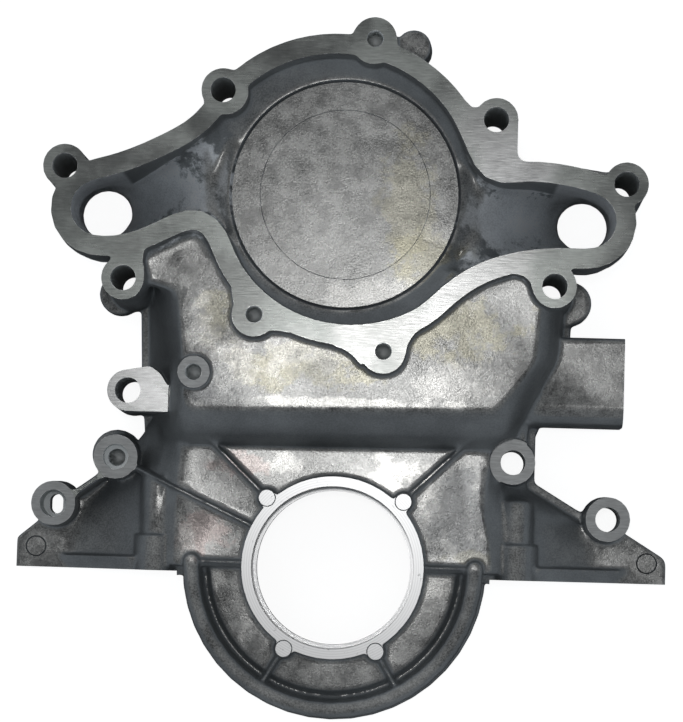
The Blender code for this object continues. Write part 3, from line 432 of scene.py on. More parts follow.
def fresh(name: str) -> tuple[bpy.types.Material, Graph, Node]:
    """Make a plain material.

    Args:
        name: Its name.

    Returns:
        The material, the helper for its nodes, and its shader.
    """
    material = bpy.data.materials.new(name)
    material.use_nodes = True
    return material, Graph(material.node_tree), material.node_tree.nodes["Principled BSDF"]


@dataclass(frozen=True)
class Metal:
    """Bare aluminium with one kind of surface."""

    name: str
    colour: Triple = (0.4, 0.4, 0.4)
    roughness: float = 0.4
    metallic: float = 1.0

    def build(self) -> bpy.types.Material:
        """Make the material.

        Returns:
            The finished material.
        """
        material, graph, shader = fresh(self.name)
        graph.fill(shader, {"Metallic": self.metallic})
        self.paint(graph, shader)
        return material

    def paint(self, graph: Graph, shader: Node) -> None:
        """Give the shader this surface's colour and gloss."""
        graph.fill(shader, {"Base Color": (*self.colour, 1.0), "Roughness": self.roughness})


RUBBED_AND_SHEEN = (0.80, 0.79, 0.76)
YELLOW = (0.56, 0.52, 0.34)
PINK = (0.50, 0.42, 0.40)
DULL = (0.17, 0.175, 0.18)
# The pale spots are partly rubbed metal and partly painted highlight; the yellow and pink ones are stains.
PATCHES = (
    Patch(-0.020, 0.092, 0.034, 0.010, YELLOW, 0.4),
    Patch(0.050, 0.112, 0.030, 0.014, YELLOW, 0.4),
    Patch(-0.056, 0.112, 0.009, 0.012, YELLOW, 0.35),
    Patch(0.030, 0.170, 0.012, 0.030, YELLOW, 0.3),
    Patch(0.044, 0.140, 0.020, 0.014, YELLOW, 0.35),
    # painted highlight along the rounded lower edge of the bulge
    Patch(0.002, 0.0755, 0.050, 0.0024, RUBBED_AND_SHEEN, 0.9),
    Patch(-0.016, 0.099, 0.020, 0.012, RUBBED_AND_SHEEN, 0.45),
    Patch(-0.063, 0.100, 0.010, 0.018, RUBBED_AND_SHEEN, 0.5),
    Patch(-0.056, 0.0765, 0.018, 0.007, DULL, 0.45),
    Patch(0.052, 0.085, 0.018, 0.008, RUBBED_AND_SHEEN, 0.45),
    Patch(-0.046, 0.100, 0.010, 0.016, RUBBED_AND_SHEEN, 0.55),
    Patch(0.028, 0.125, 0.030, 0.008, RUBBED_AND_SHEEN, 0.4),
    Patch(-0.064, 0.085, 0.014, 0.013, DULL, 0.6),
    Patch(-0.012, 0.090, 0.012, 0.007, DULL, 0.4),
    Patch(0.028, 0.044, 0.012, 0.008, RUBBED_AND_SHEEN, 0.9),
    Patch(0.043, 0.034, 0.005, 0.013, RUBBED_AND_SHEEN, 0.85),
    Patch(-0.025, 0.047, 0.012, 0.005, RUBBED_AND_SHEEN, 0.6),
    Patch(-0.060, 0.014, 0.012, 0.010, PINK, 0.7),
    Patch(-0.042, 0.046, 0.014, 0.006, PINK, 0.6),
    Patch(-0.068, 0.010, 0.004, 0.008, RUBBED_AND_SHEEN, 0.5),
    Patch(0.058, 0.024, 0.018, 0.022, DULL, 0.62),
    Patch(0.062, 0.006, 0.012, 0.003, YELLOW, 0.15),
    Patch(-0.056, -0.006, 0.006, 0.004, RUBBED_AND_SHEEN, 0.6),
    Patch(0.046, -0.008, 0.012, 0.005, RUBBED_AND_SHEEN, 0.6),
    Patch(-0.040, -0.024, 0.004, 0.012, RUBBED_AND_SHEEN, 0.4),
    Patch(0.050, 0.155, 0.010, 0.006, RUBBED_AND_SHEEN, 0.3),
)

# Painted highlights and painted shade on the milled faces: paler where the lamp's highlight falls, darker
# away from it.
MILL_HIGHLIGHT = (0.72, 0.72, 0.71)
MILL_BRIGHTEST_HIGHLIGHT = (0.97, 0.97, 0.96)
MILL_SOFT_HIGHLIGHT = (0.50, 0.50, 0.49)
MILL_SHADE = (0.30, 0.31, 0.30)
MILLED_LIGHT_AND_SHADE = (
    Patch(0.026, 0.098, 0.044, 0.026, MILL_SOFT_HIGHLIGHT, 0.8),
    Patch(0.062, 0.132, 0.026, 0.020, MILL_HIGHLIGHT, 0.9),
    Patch(0.077, 0.184, 0.020, 0.020, MILL_BRIGHTEST_HIGHLIGHT, 1.0),
    Patch(0.062, 0.200, 0.020, 0.018, MILL_HIGHLIGHT, 0.7),
    Patch(-0.088, 0.080, 0.024, 0.022, MILL_BRIGHTEST_HIGHLIGHT, 1.0),
    Patch(-0.050, 0.120, 0.026, 0.030, MILL_SHADE, 0.8),
    Patch(-0.030, 0.235, 0.060, 0.020, MILL_SHADE, 1.0),
    Patch(-0.098, 0.188, 0.040, 0.022, MILL_SHADE, 1.0),
    Patch(0.130, 0.160, 0.026, 0.040, MILL_SHADE, 0.7),
)

# Painted highlights on the floors of the water passages and painted light round the port mouths.
PAINTED_LIGHT = (0.92, 0.94, 0.96)
PASSAGE_HIGHLIGHTS = (
    Patch(-0.086, 0.172, 0.034, 0.024, PAINTED_LIGHT, 1.0),
    Patch(0.086, 0.162, 0.034, 0.024, PAINTED_LIGHT, 1.0),
)
PORT_MOUTH_LIGHT = (
    Patch(-0.1129, 0.1613, 0.0205, 0.0205, PAINTED_LIGHT, 0.8),
    Patch(0.1128, 0.1626, 0.0205, 0.0205, PAINTED_LIGHT, 0.8),
)

MATT_POSTS = (
    Patch(-0.0830, 0.007, 0.013, 0.0085, DULL),
    Patch(0.0848, 0.018, 0.013, 0.026, DULL),
)
MATT_LIP = Patch(0.0, -0.040, 0.200, 0.043, DULL)
LIP_INSIDE = Patch(0.0, 0.0, 0.0605, 0.0605, DULL)


@dataclass(frozen=True)
class CastSkin(Metal):
    """Die cast skin: painted shade on the slopes, and rubbed spots with painted highlights, stains and fine
    pits on what faces the front.
    """

    # slope: a darker copy of the flat colour, painted shade on what faces away from the front
    slope: Triple = (0.31, 0.325, 0.335)
    flat: Triple = (0.43, 0.43, 0.42)
    roughness: float = 0.265
    metallic: float = 0.94
    matt: float = 0.30

    def paint(self, graph: Graph, shader: Node) -> None:
        """Mottle the skin at four scales, lay the stains, rubbed spots and painted highlights on it, give
        the slopes their painted shade and pit it with fine grain.

        Args:
            graph: Helper for the nodes.
            shader: Shader that gets its colour, gloss and relief.
        """
        plain = graph.stretched()
        clouds = graph.noise(26.0, 4.0, 0.6, plain)
        mottle = graph.noise(120.0, 6.0, 0.72, plain)
        grain = graph.noise(1300.0, 3.0, 0.65, plain)
        ragged = graph.noise(75.0, 5.0, 0.7, plain)
        tone = graph.math("ADD", graph.swing(clouds, 0.72, 1.06), graph.swing(mottle, -0.26, 0.26))
        tone = graph.math("ADD", tone, graph.swing(grain, -0.30, 0.30))
        pale = graph.toned(graph.lay((*self.flat, 1.0), PATCHES, ragged), tone)
        dim = graph.math("ADD", graph.swing(clouds, 0.8, 1.15), graph.swing(grain, -0.10, 0.10))
        # painted shade: slopes get the darker slope colour, what faces the front gets the paler flat colour
        painted_slope_shade = graph.toned(self.walls(graph, ragged), dim)
        unshaded_share = graph.span(graph.facing(), 0.86, 0.99)
        gloss = graph.swing(mottle, self.roughness - 0.04, self.roughness + 0.04)
        coarse = graph.bump(0.16, 0.0004, mottle)
        look = {"Base Color": graph.blend(unshaded_share, painted_slope_shade, pale)}
        look["Roughness"] = graph.math("ADD", gloss, self.dulled(graph))
        look["Normal"] = graph.bump(0.30, 0.00012, grain, coarse)
        graph.fill(shader, look)

    def walls(self, graph: Graph, ragged: Socket) -> Socket:
        """Colour the slopes with their painted shade, painted highlights in the water passages and painted
        light round the port mouths.

        Args:
            graph: Helper for the nodes.
            ragged: Noise that breaks the edges of patches.

        Returns:
            The colour.
        """
        leaning = graph.span(graph.facing(), 0.04, 0.14)
        # painted highlights in the passages, on slopes that lean partly forward, then painted light round
        # the port mouths
        wall = graph.lay((*self.slope, 1.0), PASSAGE_HIGHLIGHTS, ragged, within=leaning)
        return graph.lay(wall, PORT_MOUTH_LIGHT, CLEAN_EDGE, (0.95, 1.05))

    def dulled(self, graph: Graph) -> Socket:
        """Find how much rougher the skin is on slopes, posts and the lip of the half round.

        Args:
            graph: Helper for the nodes.

        Returns:
            What is added to the roughness.
        """
        steep = graph.math("SUBTRACT", 1.0, graph.span(graph.facing(), 0.975, 0.9995))
        for patch in MATT_POSTS:
            steep = graph.math("MAXIMUM", steep, graph.spot(patch, CLEAN_EDGE, (0.9, 1.1)))
        lip = graph.spot(MATT_LIP, CLEAN_EDGE, (0.98, 1.02))
        lip = graph.math("SUBTRACT", lip, graph.spot(LIP_INSIDE, CLEAN_EDGE, (0.99, 1.01)))
        return graph.math("MULTIPLY", graph.math("MAXIMUM", steep, lip), self.matt)


@dataclass(frozen=True)
class MilledFace(Metal):
    """Face left by a milling cutter: fine streaks two ways, nicked edges with painted glints, dull stains
    and, when asked, patches of painted highlight and painted shade.
    """

    # colour of the nicks, which also paints a glint along the sharp edges
    edge: Triple = (0.93, 0.93, 0.92)
    nick: float = 0.0005
    with_painted_light: bool = False

    def paint(self, graph: Graph, shader: Node) -> None:
        """Streak the face, dull it in clouds, lay the patches of painted highlight and shade when asked, and
        nick its edges with painted glints.

        Args:
            graph: Helper for the nodes.
            shader: Shader that gets its colour, gloss and relief.
        """
        first = graph.noise(150.0, 4.0, 0.7, graph.stretched((1.0, 9.0, 1.0), 0.85))
        second = graph.noise(170.0, 4.0, 0.7, graph.stretched((1.0, 10.0, 1.0), 0.10))
        plain = graph.stretched()
        clouds = graph.noise(32.0, 4.0, 0.6, plain)
        chips = graph.noise(420.0, 2.0, 0.5, plain)
        streaks = graph.math("ADD", graph.swing(first, -0.13, 0.13), graph.swing(second, -0.08, 0.08))
        tone = graph.math("ADD", graph.swing(clouds, 0.80, 1.08), streaks)
        # patches of painted highlight and painted shade
        patches = MILLED_LIGHT_AND_SHADE if self.with_painted_light else ()
        colour = graph.toned(graph.lay((*self.colour, 1.0), patches, clouds, (0.1, 1.5)), tone)
        # partly real nicks, partly a painted glint along the sharp edges
        nicks_and_glints = graph.math("MULTIPLY", graph.edges(self.nick), graph.span(chips, 0.54, 0.60))
        look = {"Base Color": graph.blend(nicks_and_glints, colour, (*self.edge, 1.0))}
        look["Roughness"] = graph.swing(clouds, self.roughness - 0.03, self.roughness + 0.05)
        look["Normal"] = graph.bump(0.3, 0.00008, first)
        graph.fill(shader, look)


@dataclass(frozen=True)
class TurnedFace(Metal):
    """Face turned on a lathe: near white, with fine rings round the crankshaft axis."""

    pitch: float = 0.0011

    def paint(self, graph: Graph, shader: Node) -> None:
        """Draw the rings and a few dull flecks.

        Args:
            graph: Helper for the nodes.
            shader: Shader that gets its colour and gloss.
        """
        place = graph.centred((CRANK_X, CRANK_Y, 0.0))
        wave = {"Vector": place, "Scale": 0.314 / self.pitch, "Distortion": 0.3}
        rings = graph.add("ShaderNodeTexWave", wave, "Fac", wave_type="RINGS", rings_direction="Z")
        flecks = graph.noise(380.0, 4.0, 0.7, graph.stretched())
        ringed = graph.span(rings, 0.0, 1.0, 0.90, 1.02)
        tone = graph.math("ADD", ringed, graph.span(flecks, 0.62, 0.72, 0.0, -0.35))
        look = {"Base Color": graph.toned((*self.colour, 1.0), tone), "Roughness": self.roughness}
        graph.fill(shader, look)


OPEN = math.inf


@dataclass(frozen=True)
class Zone:
    """Box of space, from the crankshaft axis, that lies on both sides when it is mirrored."""

    x: Pair
    y: Pair
    z: Pair
    mirrored: bool = True

    def holds(self, spots: np.ndarray) -> np.ndarray:
        """Find the points in the zone.

        Args:
            spots: Points, one a row.

        Returns:
            True for each point in the zone.
        """
        x, y, z = spots.T
        pairs = ((np.abs(x) if self.mirrored else x, self.x), (y, self.y), (z, self.z))
        return np.all([(value > low) & (value < high) for value, (low, high) in pairs], axis=0)


@dataclass
class RoughCasting:
    """The cover as it leaves the mould: soft corners, holes not drilled, spare metal on machined faces."""

    source: Item
    voxel: float = 0.00075
    stock: float = 0.0022
    soften: int = 8
    passages: int = 60
    triangles: int = 150000
    touch: float = 0.00001
    close: float = 0.0002
    ring_span: tuple = (-0.0001, 0.0006)
    boss_margin: float = 0.001
    pointer_reach: float = 0.009
    inner: tuple = (
        Zone((0.054, OPEN), (0.140, OPEN), (0.018, 0.0640)),
        Zone((-OPEN, 0.078), (0.052, 0.078), (0.0385, 0.0528)),
        Zone((-0.0915, -0.0655), (0.1205, 0.1315), (0.030, OPEN), mirrored=False),
    )
    flanks: tuple = (
        Zone((0.0665, 0.094), (0.028, 0.140), (0.012, 0.0545)),
        Zone((0.0695, 0.126), (0.0045, 0.046), (0.010, 0.0358)),
    )
    post_zone: tuple = (0.084, 0.0112, 0.0142)
    bar_zone: tuple = (-0.1030, 0.0487, 0.49, 0.87, 0.0035)
    pointer_zone: float = 0.0105

    def on_stock(self, spot: Vector) -> Vector:
        """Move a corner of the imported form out, when spare metal is left on its machined face.

        Args:
            spot: The corner.

        Returns:
            Its new place.
        """
        x = spot.x - CRANK_X
        y = spot.y - CRANK_Y
        moved = spot.copy()
        if abs(spot.z - PUMP_FACE) < self.touch:
            moved.z += self.stock
        if abs(spot.z) < self.touch:
            moved.z -= self.stock
        low, high = (SealRing.face + part for part in self.ring_span)
        if math.hypot(x, y) < SealRing.pad_reach and low < spot.z < high:
            moved.z += self.stock
        if abs(y - PanRail.bottom) < self.touch and abs(x) > HalfRound.rear_radius:
            moved.y -= self.stock
        if abs(x - FuelPumpPad.face) < self.touch:
            moved.x += self.stock
        reach = LowBosses.radius + self.boss_margin
        for across, up, _, _, top in LowBosses.spots[:4]:
            if math.hypot(x - across, y - up) < reach and abs(spot.z - top) < self.touch:
                moved.z += self.stock / 2
        if LowBosses.on_pad(x, y) and abs(spot.z - LowBosses.spots[4][4]) < self.close:
            moved.z += self.stock
        on_pointer = math.dist((x, y), LowBosses.pointer) < self.pointer_reach
        if on_pointer and abs(spot.z - LowBosses.pointer_top) < self.close:
            moved.z += self.stock
        return moved

    def build(self, plugs: list[Item]) -> Item:
        """Cast the cover.

        Args:
            plugs: Closed pieces that fill the holes until they are drilled.

        Returns:
            The casting, ready to be machined.
        """
        shape = bmesh.new()
        shape.from_mesh(self.source.data)
        for vert in shape.verts:
            vert.co = self.on_stock(vert.co)
        for plug in plugs:
            shape.from_mesh(plug.data)
            bpy.data.objects.remove(plug)
        casting = linked("cover_casting", shape)
        remesh = casting.modifiers.new("mould", "REMESH")
        remesh.mode = "VOXEL"
        remesh.voxel_size = self.voxel * 1
        remesh.use_smooth_shade = True
        baked(casting)
        log.info("cast skin of %d faces", len(casting.data.polygons))
        self.smooth(casting)
        thin = casting.modifiers.new("thin", "DECIMATE")
        thin.ratio = min(1.0, self.triangles / (2 * len(casting.data.polygons)))
        baked(casting)
        log.info("thinned to %d faces", len(casting.data.polygons))
        return casting

    def smooth(self, casting: Item) -> None:
        """Soften every corner a little, and the long curves of the passages and bulge a lot.

        Args:
            casting: The remeshed casting.
        """
        mesh = casting.data
        spots = np.empty(len(mesh.vertices) * 3)
        mesh.vertices.foreach_get("co", spots)
        origin = np.array((CRANK_X, CRANK_Y, 0.0))
        spots = spots.reshape(-1, 3) - origin
        ChamberDisc().run_down(spots)
        HalfRound().sink(spots)
        mesh.vertices.foreach_set("co", (spots + origin).ravel())
        group = casting.vertex_groups.new(name="curves")
        for index in np.nonzero(self.curved(spots))[0].tolist():
            group.add((index,), 1.0, "REPLACE")
        for zone, rounds in (("", self.soften), (group.name, self.passages)):
            step = casting.modifiers.new("soften", "SMOOTH")
            step.factor = 0.5
            step.iterations = rounds
            step.vertex_group = zone
        baked(casting)
        casting.vertex_groups.clear()

    def curved(self, spots: np.ndarray) -> np.ndarray:
        """Find the points in the water passages, on the shelf and on the bulge's rounding.

        Args:
            spots: Points from the crankshaft axis, one a row.

        Returns:
            True for each point that is smoothed a lot.
        """
        x, y, _ = spots.T
        across, half, top = self.post_zone
        kept = LowBosses.near(x, y) | ((np.abs(np.abs(x) - across) < half) & (y < top))
        across, up, part_x, part_y, half = self.bar_zone
        kept |= (x < 0.0) & (np.abs((y - up) * part_y + (x - across) * part_x) < half)
        across, up = LowBosses.pointer
        kept |= np.hypot(x - across, y - up) < self.pointer_zone
        inner = np.any([zone.holds(spots) for zone in self.inner], axis=0)
        flanks = np.any([zone.holds(spots) for zone in self.flanks], axis=0)
        return inner | (flanks & ~kept)


@dataclass
class Hole:
    """Plain drilled or tapped hole, drilled inwards from its high end along its axis."""

    x: float
    y: float
    radius: float
    low: float
    high: float
    axis: Axis = Axis.FRONT
    thread_pitch: float = 0.0
    past: float = 0.004
    spare_wall: float = 0.0008
    thread_depth: float = 0.38
    rings_a_turn: int = 6
    tip: float = 0.6

    def centre(self, middle: float) -> Vector:
        """Find a point on the hole's axis.

        Args:
            middle: Where along the axis it lies.

        Returns:
            The point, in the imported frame.
        """
        if self.axis is Axis.FRONT:
            return row(self.x, self.y, middle)
        if self.axis is Axis.PAN:
            return row(self.x, 0.0, self.y) + Vector((0.0, middle, 0.0))
        return row(0.0, self.x, self.y) + Vector((middle, 0.0, 0.0))

    def reach(self) -> Pair:
        """Find the ends of the drill, which runs past every face that the hole opens in.

        Returns:
            Its low and its high end.
        """
        if self.axis is Axis.PAN:
            return self.low - self.past, self.high
        through = self.axis is Axis.FRONT and self.low <= 0.0
        return self.low - (self.past if through else 0.0), self.high + self.past

    def plug(self, spare: float) -> Item:
        """Fill the hole until it is drilled.

        Args:
            spare: Spare metal on the faces that it opens in.

        Returns:
            The plug.
        """
        middle = (self.low + self.high) / 2
        size = (self.radius + self.spare_wall, self.high - self.low + 2 * spare)
        return cylinder("plug", self.centre(middle), *size, self.axis, steps=40)

    def tool(self) -> Item:
        """Make the drill, or the tap when the hole is threaded.

        Returns:
            The tool.
        """
        low, high = self.reach()
        if self.thread_pitch:
            return self.tap((low + high) / 2, high - low)
        return cylinder("drill", self.centre((low + high) / 2), self.radius, high - low, self.axis)

    def tap(self, middle: float, length: float) -> Item:
        """Make a threaded tool, its crest following a helix.

        Args:
            middle: Where along the axis its middle lies.
            length: Its length.

        Returns:
            The tool.
        """
        around = 40
        rings = int(length / self.thread_pitch * self.rings_a_turn)
        shape = bmesh.new()
        bmesh.ops.create_grid(shape, x_segments=around, y_segments=rings, size=0.5)
        depth = self.thread_pitch * self.thread_depth
        for vert in shape.verts:
            turn = (vert.co.x + 0.5) * math.tau
            rise = (vert.co.y + 0.5) * length
            wave = abs(((rise / self.thread_pitch + turn / math.tau) % 1.0) * 2 - 1)
            reach = self.radius + depth * wave
            vert.co = (reach * math.cos(turn), reach * math.sin(turn), rise - length / 2)
        bmesh.ops.remove_doubles(shape, verts=shape.verts, dist=1e-7)
        rims = [edge for edge in shape.edges if edge.is_boundary]
        bmesh.ops.holes_fill(shape, edges=rims, sides=around + 2)
        ends = [face for face in shape.faces if len(face.verts) > 4]
        sign = -1 if self.axis is Axis.FRONT else 1
        for vert in bmesh.ops.poke(shape, faces=ends)["verts"]:
            if vert.co.z * sign > 0:
                vert.co.z += sign * self.radius * self.tip
        shape.transform(Matrix.Translation(self.centre(middle)) @ self.axis.turn())
        return linked("tap", shape)


@dataclass
class PumpFlange:
    """Milled face of the water pump with its bolt holes."""

    through: tuple = (
        (-0.1271, 0.1799), (-0.0558, 0.2166), (0.0694, 0.2061), (0.1295, 0.1781),
        (-0.0988, 0.1292), (0.0979, 0.1306),
    )
    tapped: tuple = ((0.0129, 0.2418), (-0.0387, 0.1140), (0.0206, 0.0987))
    through_radius: float = 0.00575
    tap_depth: float = 0.014
    fillets: tuple = (
        (0.054, ((-0.0494, 0.1266), (-0.0482, 0.1194), (-0.0451, 0.1237))),
        (0.054, (
            (-0.0350, 0.1051), (-0.0321, 0.1069), (-0.0283, 0.1070), (-0.0225, 0.1062),
            (-0.0292, 0.1104),
        )),
        (0.054, (
            (-0.0039, 0.1022), (-0.0010, 0.1005), (0.0027, 0.0994), (0.0069, 0.0967),
            (0.0107, 0.0924), (0.0115, 0.1026),
        )),
        (0.054, ((0.0308, 0.0972), (0.0317, 0.1026), (0.0345, 0.1070), (0.0390, 0.1110), (0.0280, 0.1080))),
        (0.054, ((0.0783, 0.1360), (0.0837, 0.1350), (0.0867, 0.1323), (0.0882, 0.1274), (0.0907, 0.1382))),
        (0.044, ((0.0555, 0.2141), (0.0579, 0.2115), (0.0618, 0.2115), (0.0635, 0.2129), (0.0590, 0.2073))),
        (0.044, (
            (-0.0824, 0.1461), (-0.0876, 0.1443), (-0.0897, 0.1418), (-0.0902, 0.1365),
            (-0.0891, 0.1338), (-0.0985, 0.1375), (-0.0975, 0.1440), (-0.0934, 0.1465),
        )),
    )
    shelf: tuple = (
        (-0.0935, 0.1371), (-0.0912, 0.1452), (-0.0822, 0.1506), (-0.0690, 0.1545),
        (-0.0640, 0.1400), (-0.0655, 0.1260), (-0.0750, 0.1236), (-0.0840, 0.1262),
        (-0.0905, 0.1285),
    )
    shelf_back: float = 0.043
    shelf_top: float = 0.0559
    swell_spots: tuple = ((-0.0548, 0.2158), (0.0127, 0.2407))
    swell_radius: float = 0.0105
    swell_foot: float = 0.053
    above: float = 0.0022

    def swells(self) -> list[Item]:
        """Add fillets beside the bosses, the shelf in the left corner, and swellings into the chamber wall.

        Returns:
            The closed pieces.
        """
        low = self.swell_foot
        length = PUMP_FACE + self.above - low
        result = []
        for foot, line in self.fillets:
            result.append(prism("fillet", [row(*spot) for spot in line], foot, low + length))
        result.append(prism("shelf", [row(*spot) for spot in self.shelf], self.shelf_back, self.shelf_top))
        for x, y in self.swell_spots:
            result.append(cylinder("swell", row(x, y, low + length / 2), self.swell_radius, length))
        return result

    def holes(self) -> list[Hole]:
        """List the holes of the face.

        Returns:
            The through holes and the tapped ones.
        """
        low = PUMP_FACE - self.tap_depth
        drilled = [Hole(x, y, self.through_radius, 0.0, PUMP_FACE) for x, y in self.through]
        taps = [Hole(x, y, TAP_RADIUS, low, PUMP_FACE, thread_pitch=TAP_PITCH) for x, y in self.tapped]
        return drilled + taps

    def facing(self) -> list[Item]:
        """Cutter that leaves the face flat."""
        return [box("pump_face", row(-0.2, -0.2, PUMP_FACE), row(0.2, 0.3, PUMP_FACE + 0.05))]


@dataclass
class ChamberDisc:
    """Turned floor of the pump chamber: a groove round its rim and a fine line inside."""

    x: float = 0.0010
    y: float = 0.1717
    floor: float = 0.050
    inner: float = 0.0521
    outer: float = 0.0536
    depth: float = 0.0009
    plug_reach: float = 0.0560
    line_radius: float = 0.0392
    line_width: float = 0.0003
    line_depth: float = 0.00015
    spare: float = 0.0005
    slope_from: float = 0.0543
    slope_rise: float = 0.0050
    wall_x: float = -0.0030
    wall_radius: float = 0.0677
    ledge: float = 0.0036
    arcs: tuple = ((8.0, 162.0), (200.0, 336.0))
    run_out: float = 14.0
    slope_steps: int = 90
    slope_below: float = 0.004
    slope_over: float = 0.006
    leave_left: float = 181.0
    leave_right: float = -8.0
    leave_half: float = 28.0
    leave_ease: float = 9.0
    skin_reach: float = 0.0650
    skin_ease: float = 0.005
    skin_fall: float = 0.5
    skin_span: tuple = (0.0460, 0.0535)
    turn_steps: int = 200
    face_half: float = 0.001
    face_over: float = 0.0003
    section: tuple = ((0.0, 0.0), (0.03, 0.02), (0.35, 0.34), (0.65, 0.68), (1.0, 1.0))

    def ring(self, name: str, section: list[Pair]) -> Item:
        """Ring with a given section, turned about the chamber's axis."""
        return turned(name, section, row(self.x, self.y), self.turn_steps)

    def plug(self) -> Item:
        """Fill the groove until it is turned.

        Returns:
            The plug.
        """
        low = self.floor - 2 * self.depth
        high = self.floor
        inner = self.inner - self.spare
        outer = self.plug_reach
        return self.ring("groove_plug", [(inner, low), (outer, low), (outer, high), (inner, high)])

    def to_wall(self, turn: float) -> float:
        """Distance from the chamber's axis to its wall, which runs about an axis of its own."""
        aside = (self.wall_x - self.x) * math.sin(turn)
        return (self.wall_x - self.x) * math.cos(turn) + math.sqrt(self.wall_radius**2 - aside**2)

    def run_down(self, spots: np.ndarray) -> None:
        """Lower the skin beside the groove where the passages leave, so that it runs down into them.

        Args:
            spots: Points from the crankshaft axis, one a row, which are moved.
        """
        x, y, z = spots.T
        radius = np.hypot(x - self.x, y - self.y)
        angle = np.degrees(np.arctan2(y - self.y, x - self.x))
        left = np.abs((angle - self.leave_left + 180.0) % 360.0 - 180.0)
        aside = np.minimum(left, np.abs(angle - self.leave_right))
        share = np.clip((self.leave_half - aside) / self.leave_ease, 0.0, 1.0)
        share *= np.clip((self.skin_reach - radius) / self.skin_ease, 0.0, 1.0)
        goal = self.floor - (radius - self.slope_from) * self.skin_fall
        low, high = self.skin_span
        near = (radius > self.slope_from) & (z > low) & (z < high) & (goal < z)
        z[near] += (share * (goal - z))[near]

    def slope(self) -> list[Item]:
        """Build the slopes from the groove up to the chamber wall, which run out towards both passages.

        Returns:
            One closed piece an arc.
        """
        result = []
        for first, last in self.arcs:
            shape = bmesh.new()
            rings = []
            for step in range(self.slope_steps + 1):
                angle = first + (last - first) * step / self.slope_steps
                ease = min(1.0, (angle - first) / self.run_out, (last - angle) / self.run_out)
                spots = self.profile(math.radians(angle), self.slope_rise * ease * ease * (3 - 2 * ease))
                rings.append([shape.verts.new(spot) for spot in spots])
            for one, two in zip(rings, rings[1:]):
                for index in range(len(one)):
                    shape.faces.new((one[index - 1], one[index], two[index], two[index - 1]))
            shape.faces.new(rings[0])
            shape.faces.new(rings[-1])
            result.append(linked("chamber_slope", shape))
        return result

    def profile(self, turn: float, rise: float) -> list[Vector]:
        """Find the outline of a slope at one angle.

        Args:
            turn: The angle about the chamber's axis.
            rise: How high the slope rises there.

        Returns:
            Its corners.
        """
        low = self.floor - self.slope_below
        wide = self.to_wall(turn) - self.ledge - self.slope_from
        outer = self.slope_from + wide + self.slope_over
        line = [(self.slope_from, low)]
        line += [(self.slope_from + wide * part, self.floor + rise * tall) for part, tall in self.section]
        line += [(outer, self.floor + rise), (outer, low)]
        return [row(self.x + r * math.cos(turn), self.y + r * math.sin(turn), z) for r, z in line]

    def cutters(self) -> list[Item]:
        """Make the tools of the floor, the line and the groove.

        Returns:
            The closed tools.
        """
        low = self.floor - self.depth
        middle = row(self.x, self.y, self.floor + self.face_half)
        face = (self.inner + self.face_over, 2 * self.face_half)
        inner = self.line_radius - self.line_width / 2
        line = self.vee(self.floor, inner, inner + self.line_width, self.floor - self.line_depth)
        return [
            cylinder("disc_face", middle, *face, steps=self.turn_steps),
            self.ring("line", line),
            self.ring("groove", self.vee(self.floor, self.inner, self.outer, low)),
        ]

    @staticmethod
    def vee(face: float, inner: float, outer: float, low: float) -> list[tuple[float, float]]:
        """Section of a tool that cuts a groove with a sharp bottom."""
        top = face + 0.0006
        return [(inner, face), ((inner + outer) / 2, low), (outer, face), (outer, top), (inner, top)]


@dataclass
class SealRing:
    """Turned ring and bore that hold the crankshaft seal, with four small pads."""

    face = 0.044
    pad_reach = 0.0495
    radius: float = 0.0419
    bore: float = 0.0374
    shoulder: float = 0.0358
    shoulder_top: float = 0.025
    hub_back: float = 0.019
    pad_radius: float = 0.004
    pad_rise: float = 0.0004
    pads: tuple = ((-0.0311, 0.0312), (0.0318, 0.0311), (-0.0214, -0.0378), (0.0208, -0.0379))
    pad_length: float = 0.006
    plug_over: float = 0.0012
    plug_span: tuple = (0.0005, 0.002)
    turn_steps: int = 160

    def plug(self) -> Item:
        """Fill the bore until it is turned.

        Returns:
            The plug.
        """
        low = self.hub_back + self.plug_span[0]
        high = self.face + self.plug_span[1]
        return cylinder("bore_plug", row(0.0, 0.0, (low + high) / 2), self.bore + self.plug_over, high - low)

    def cutters(self) -> list[Item]:
        """Make the facing cutter and the two boring cutters.

        Returns:
            The closed tools.
        """
        tools = (
            ("ring_face", self.face + 0.01, self.pad_reach, 0.02),
            ("bore", self.shoulder_top + 0.02, self.bore, 0.04),
            ("shoulder", 0.01, self.shoulder, 0.04),
        )
        steps = self.turn_steps
        return [cylinder(name, row(0.0, 0.0, z), size, tall, steps=steps) for name, z, size, tall in tools]

    def pads_up(self) -> list[Item]:
        """Make the small pads, which stand just proud of the ring.

        Returns:
            The pads.
        """
        middle = self.face + self.pad_rise - self.pad_length / 2
        size = (self.pad_radius, self.pad_length)
        return [cylinder("ring_pad", row(x, y, middle), *size) for x, y in self.pads]


@dataclass
class HalfRound:
    """Half round that carries the oil pan seal."""

    rear_radius = 0.0715
    groove: float = 0.0590
    groove_half: float = 0.0022
    groove_depth: float = 0.0018
    groove_top: float = -0.0035
    groove_span: tuple = (0.0320, 0.0346)

    def sink(self, spots: np.ndarray) -> None:
        """Deepen the middle of the groove behind the lip, but not where ribs cross it.

        Args:
            spots: Points from the crankshaft axis, one a row, which are moved.
        """
        x, y, z = spots.T
        part = 1.0 - np.abs(np.hypot(x, y) - self.groove) / self.groove_half
        low, high = self.groove_span
        near = (part > 0.0) & (y < self.groove_top) & (z > low) & (z < high)
        z[near] -= self.groove_depth * part[near]


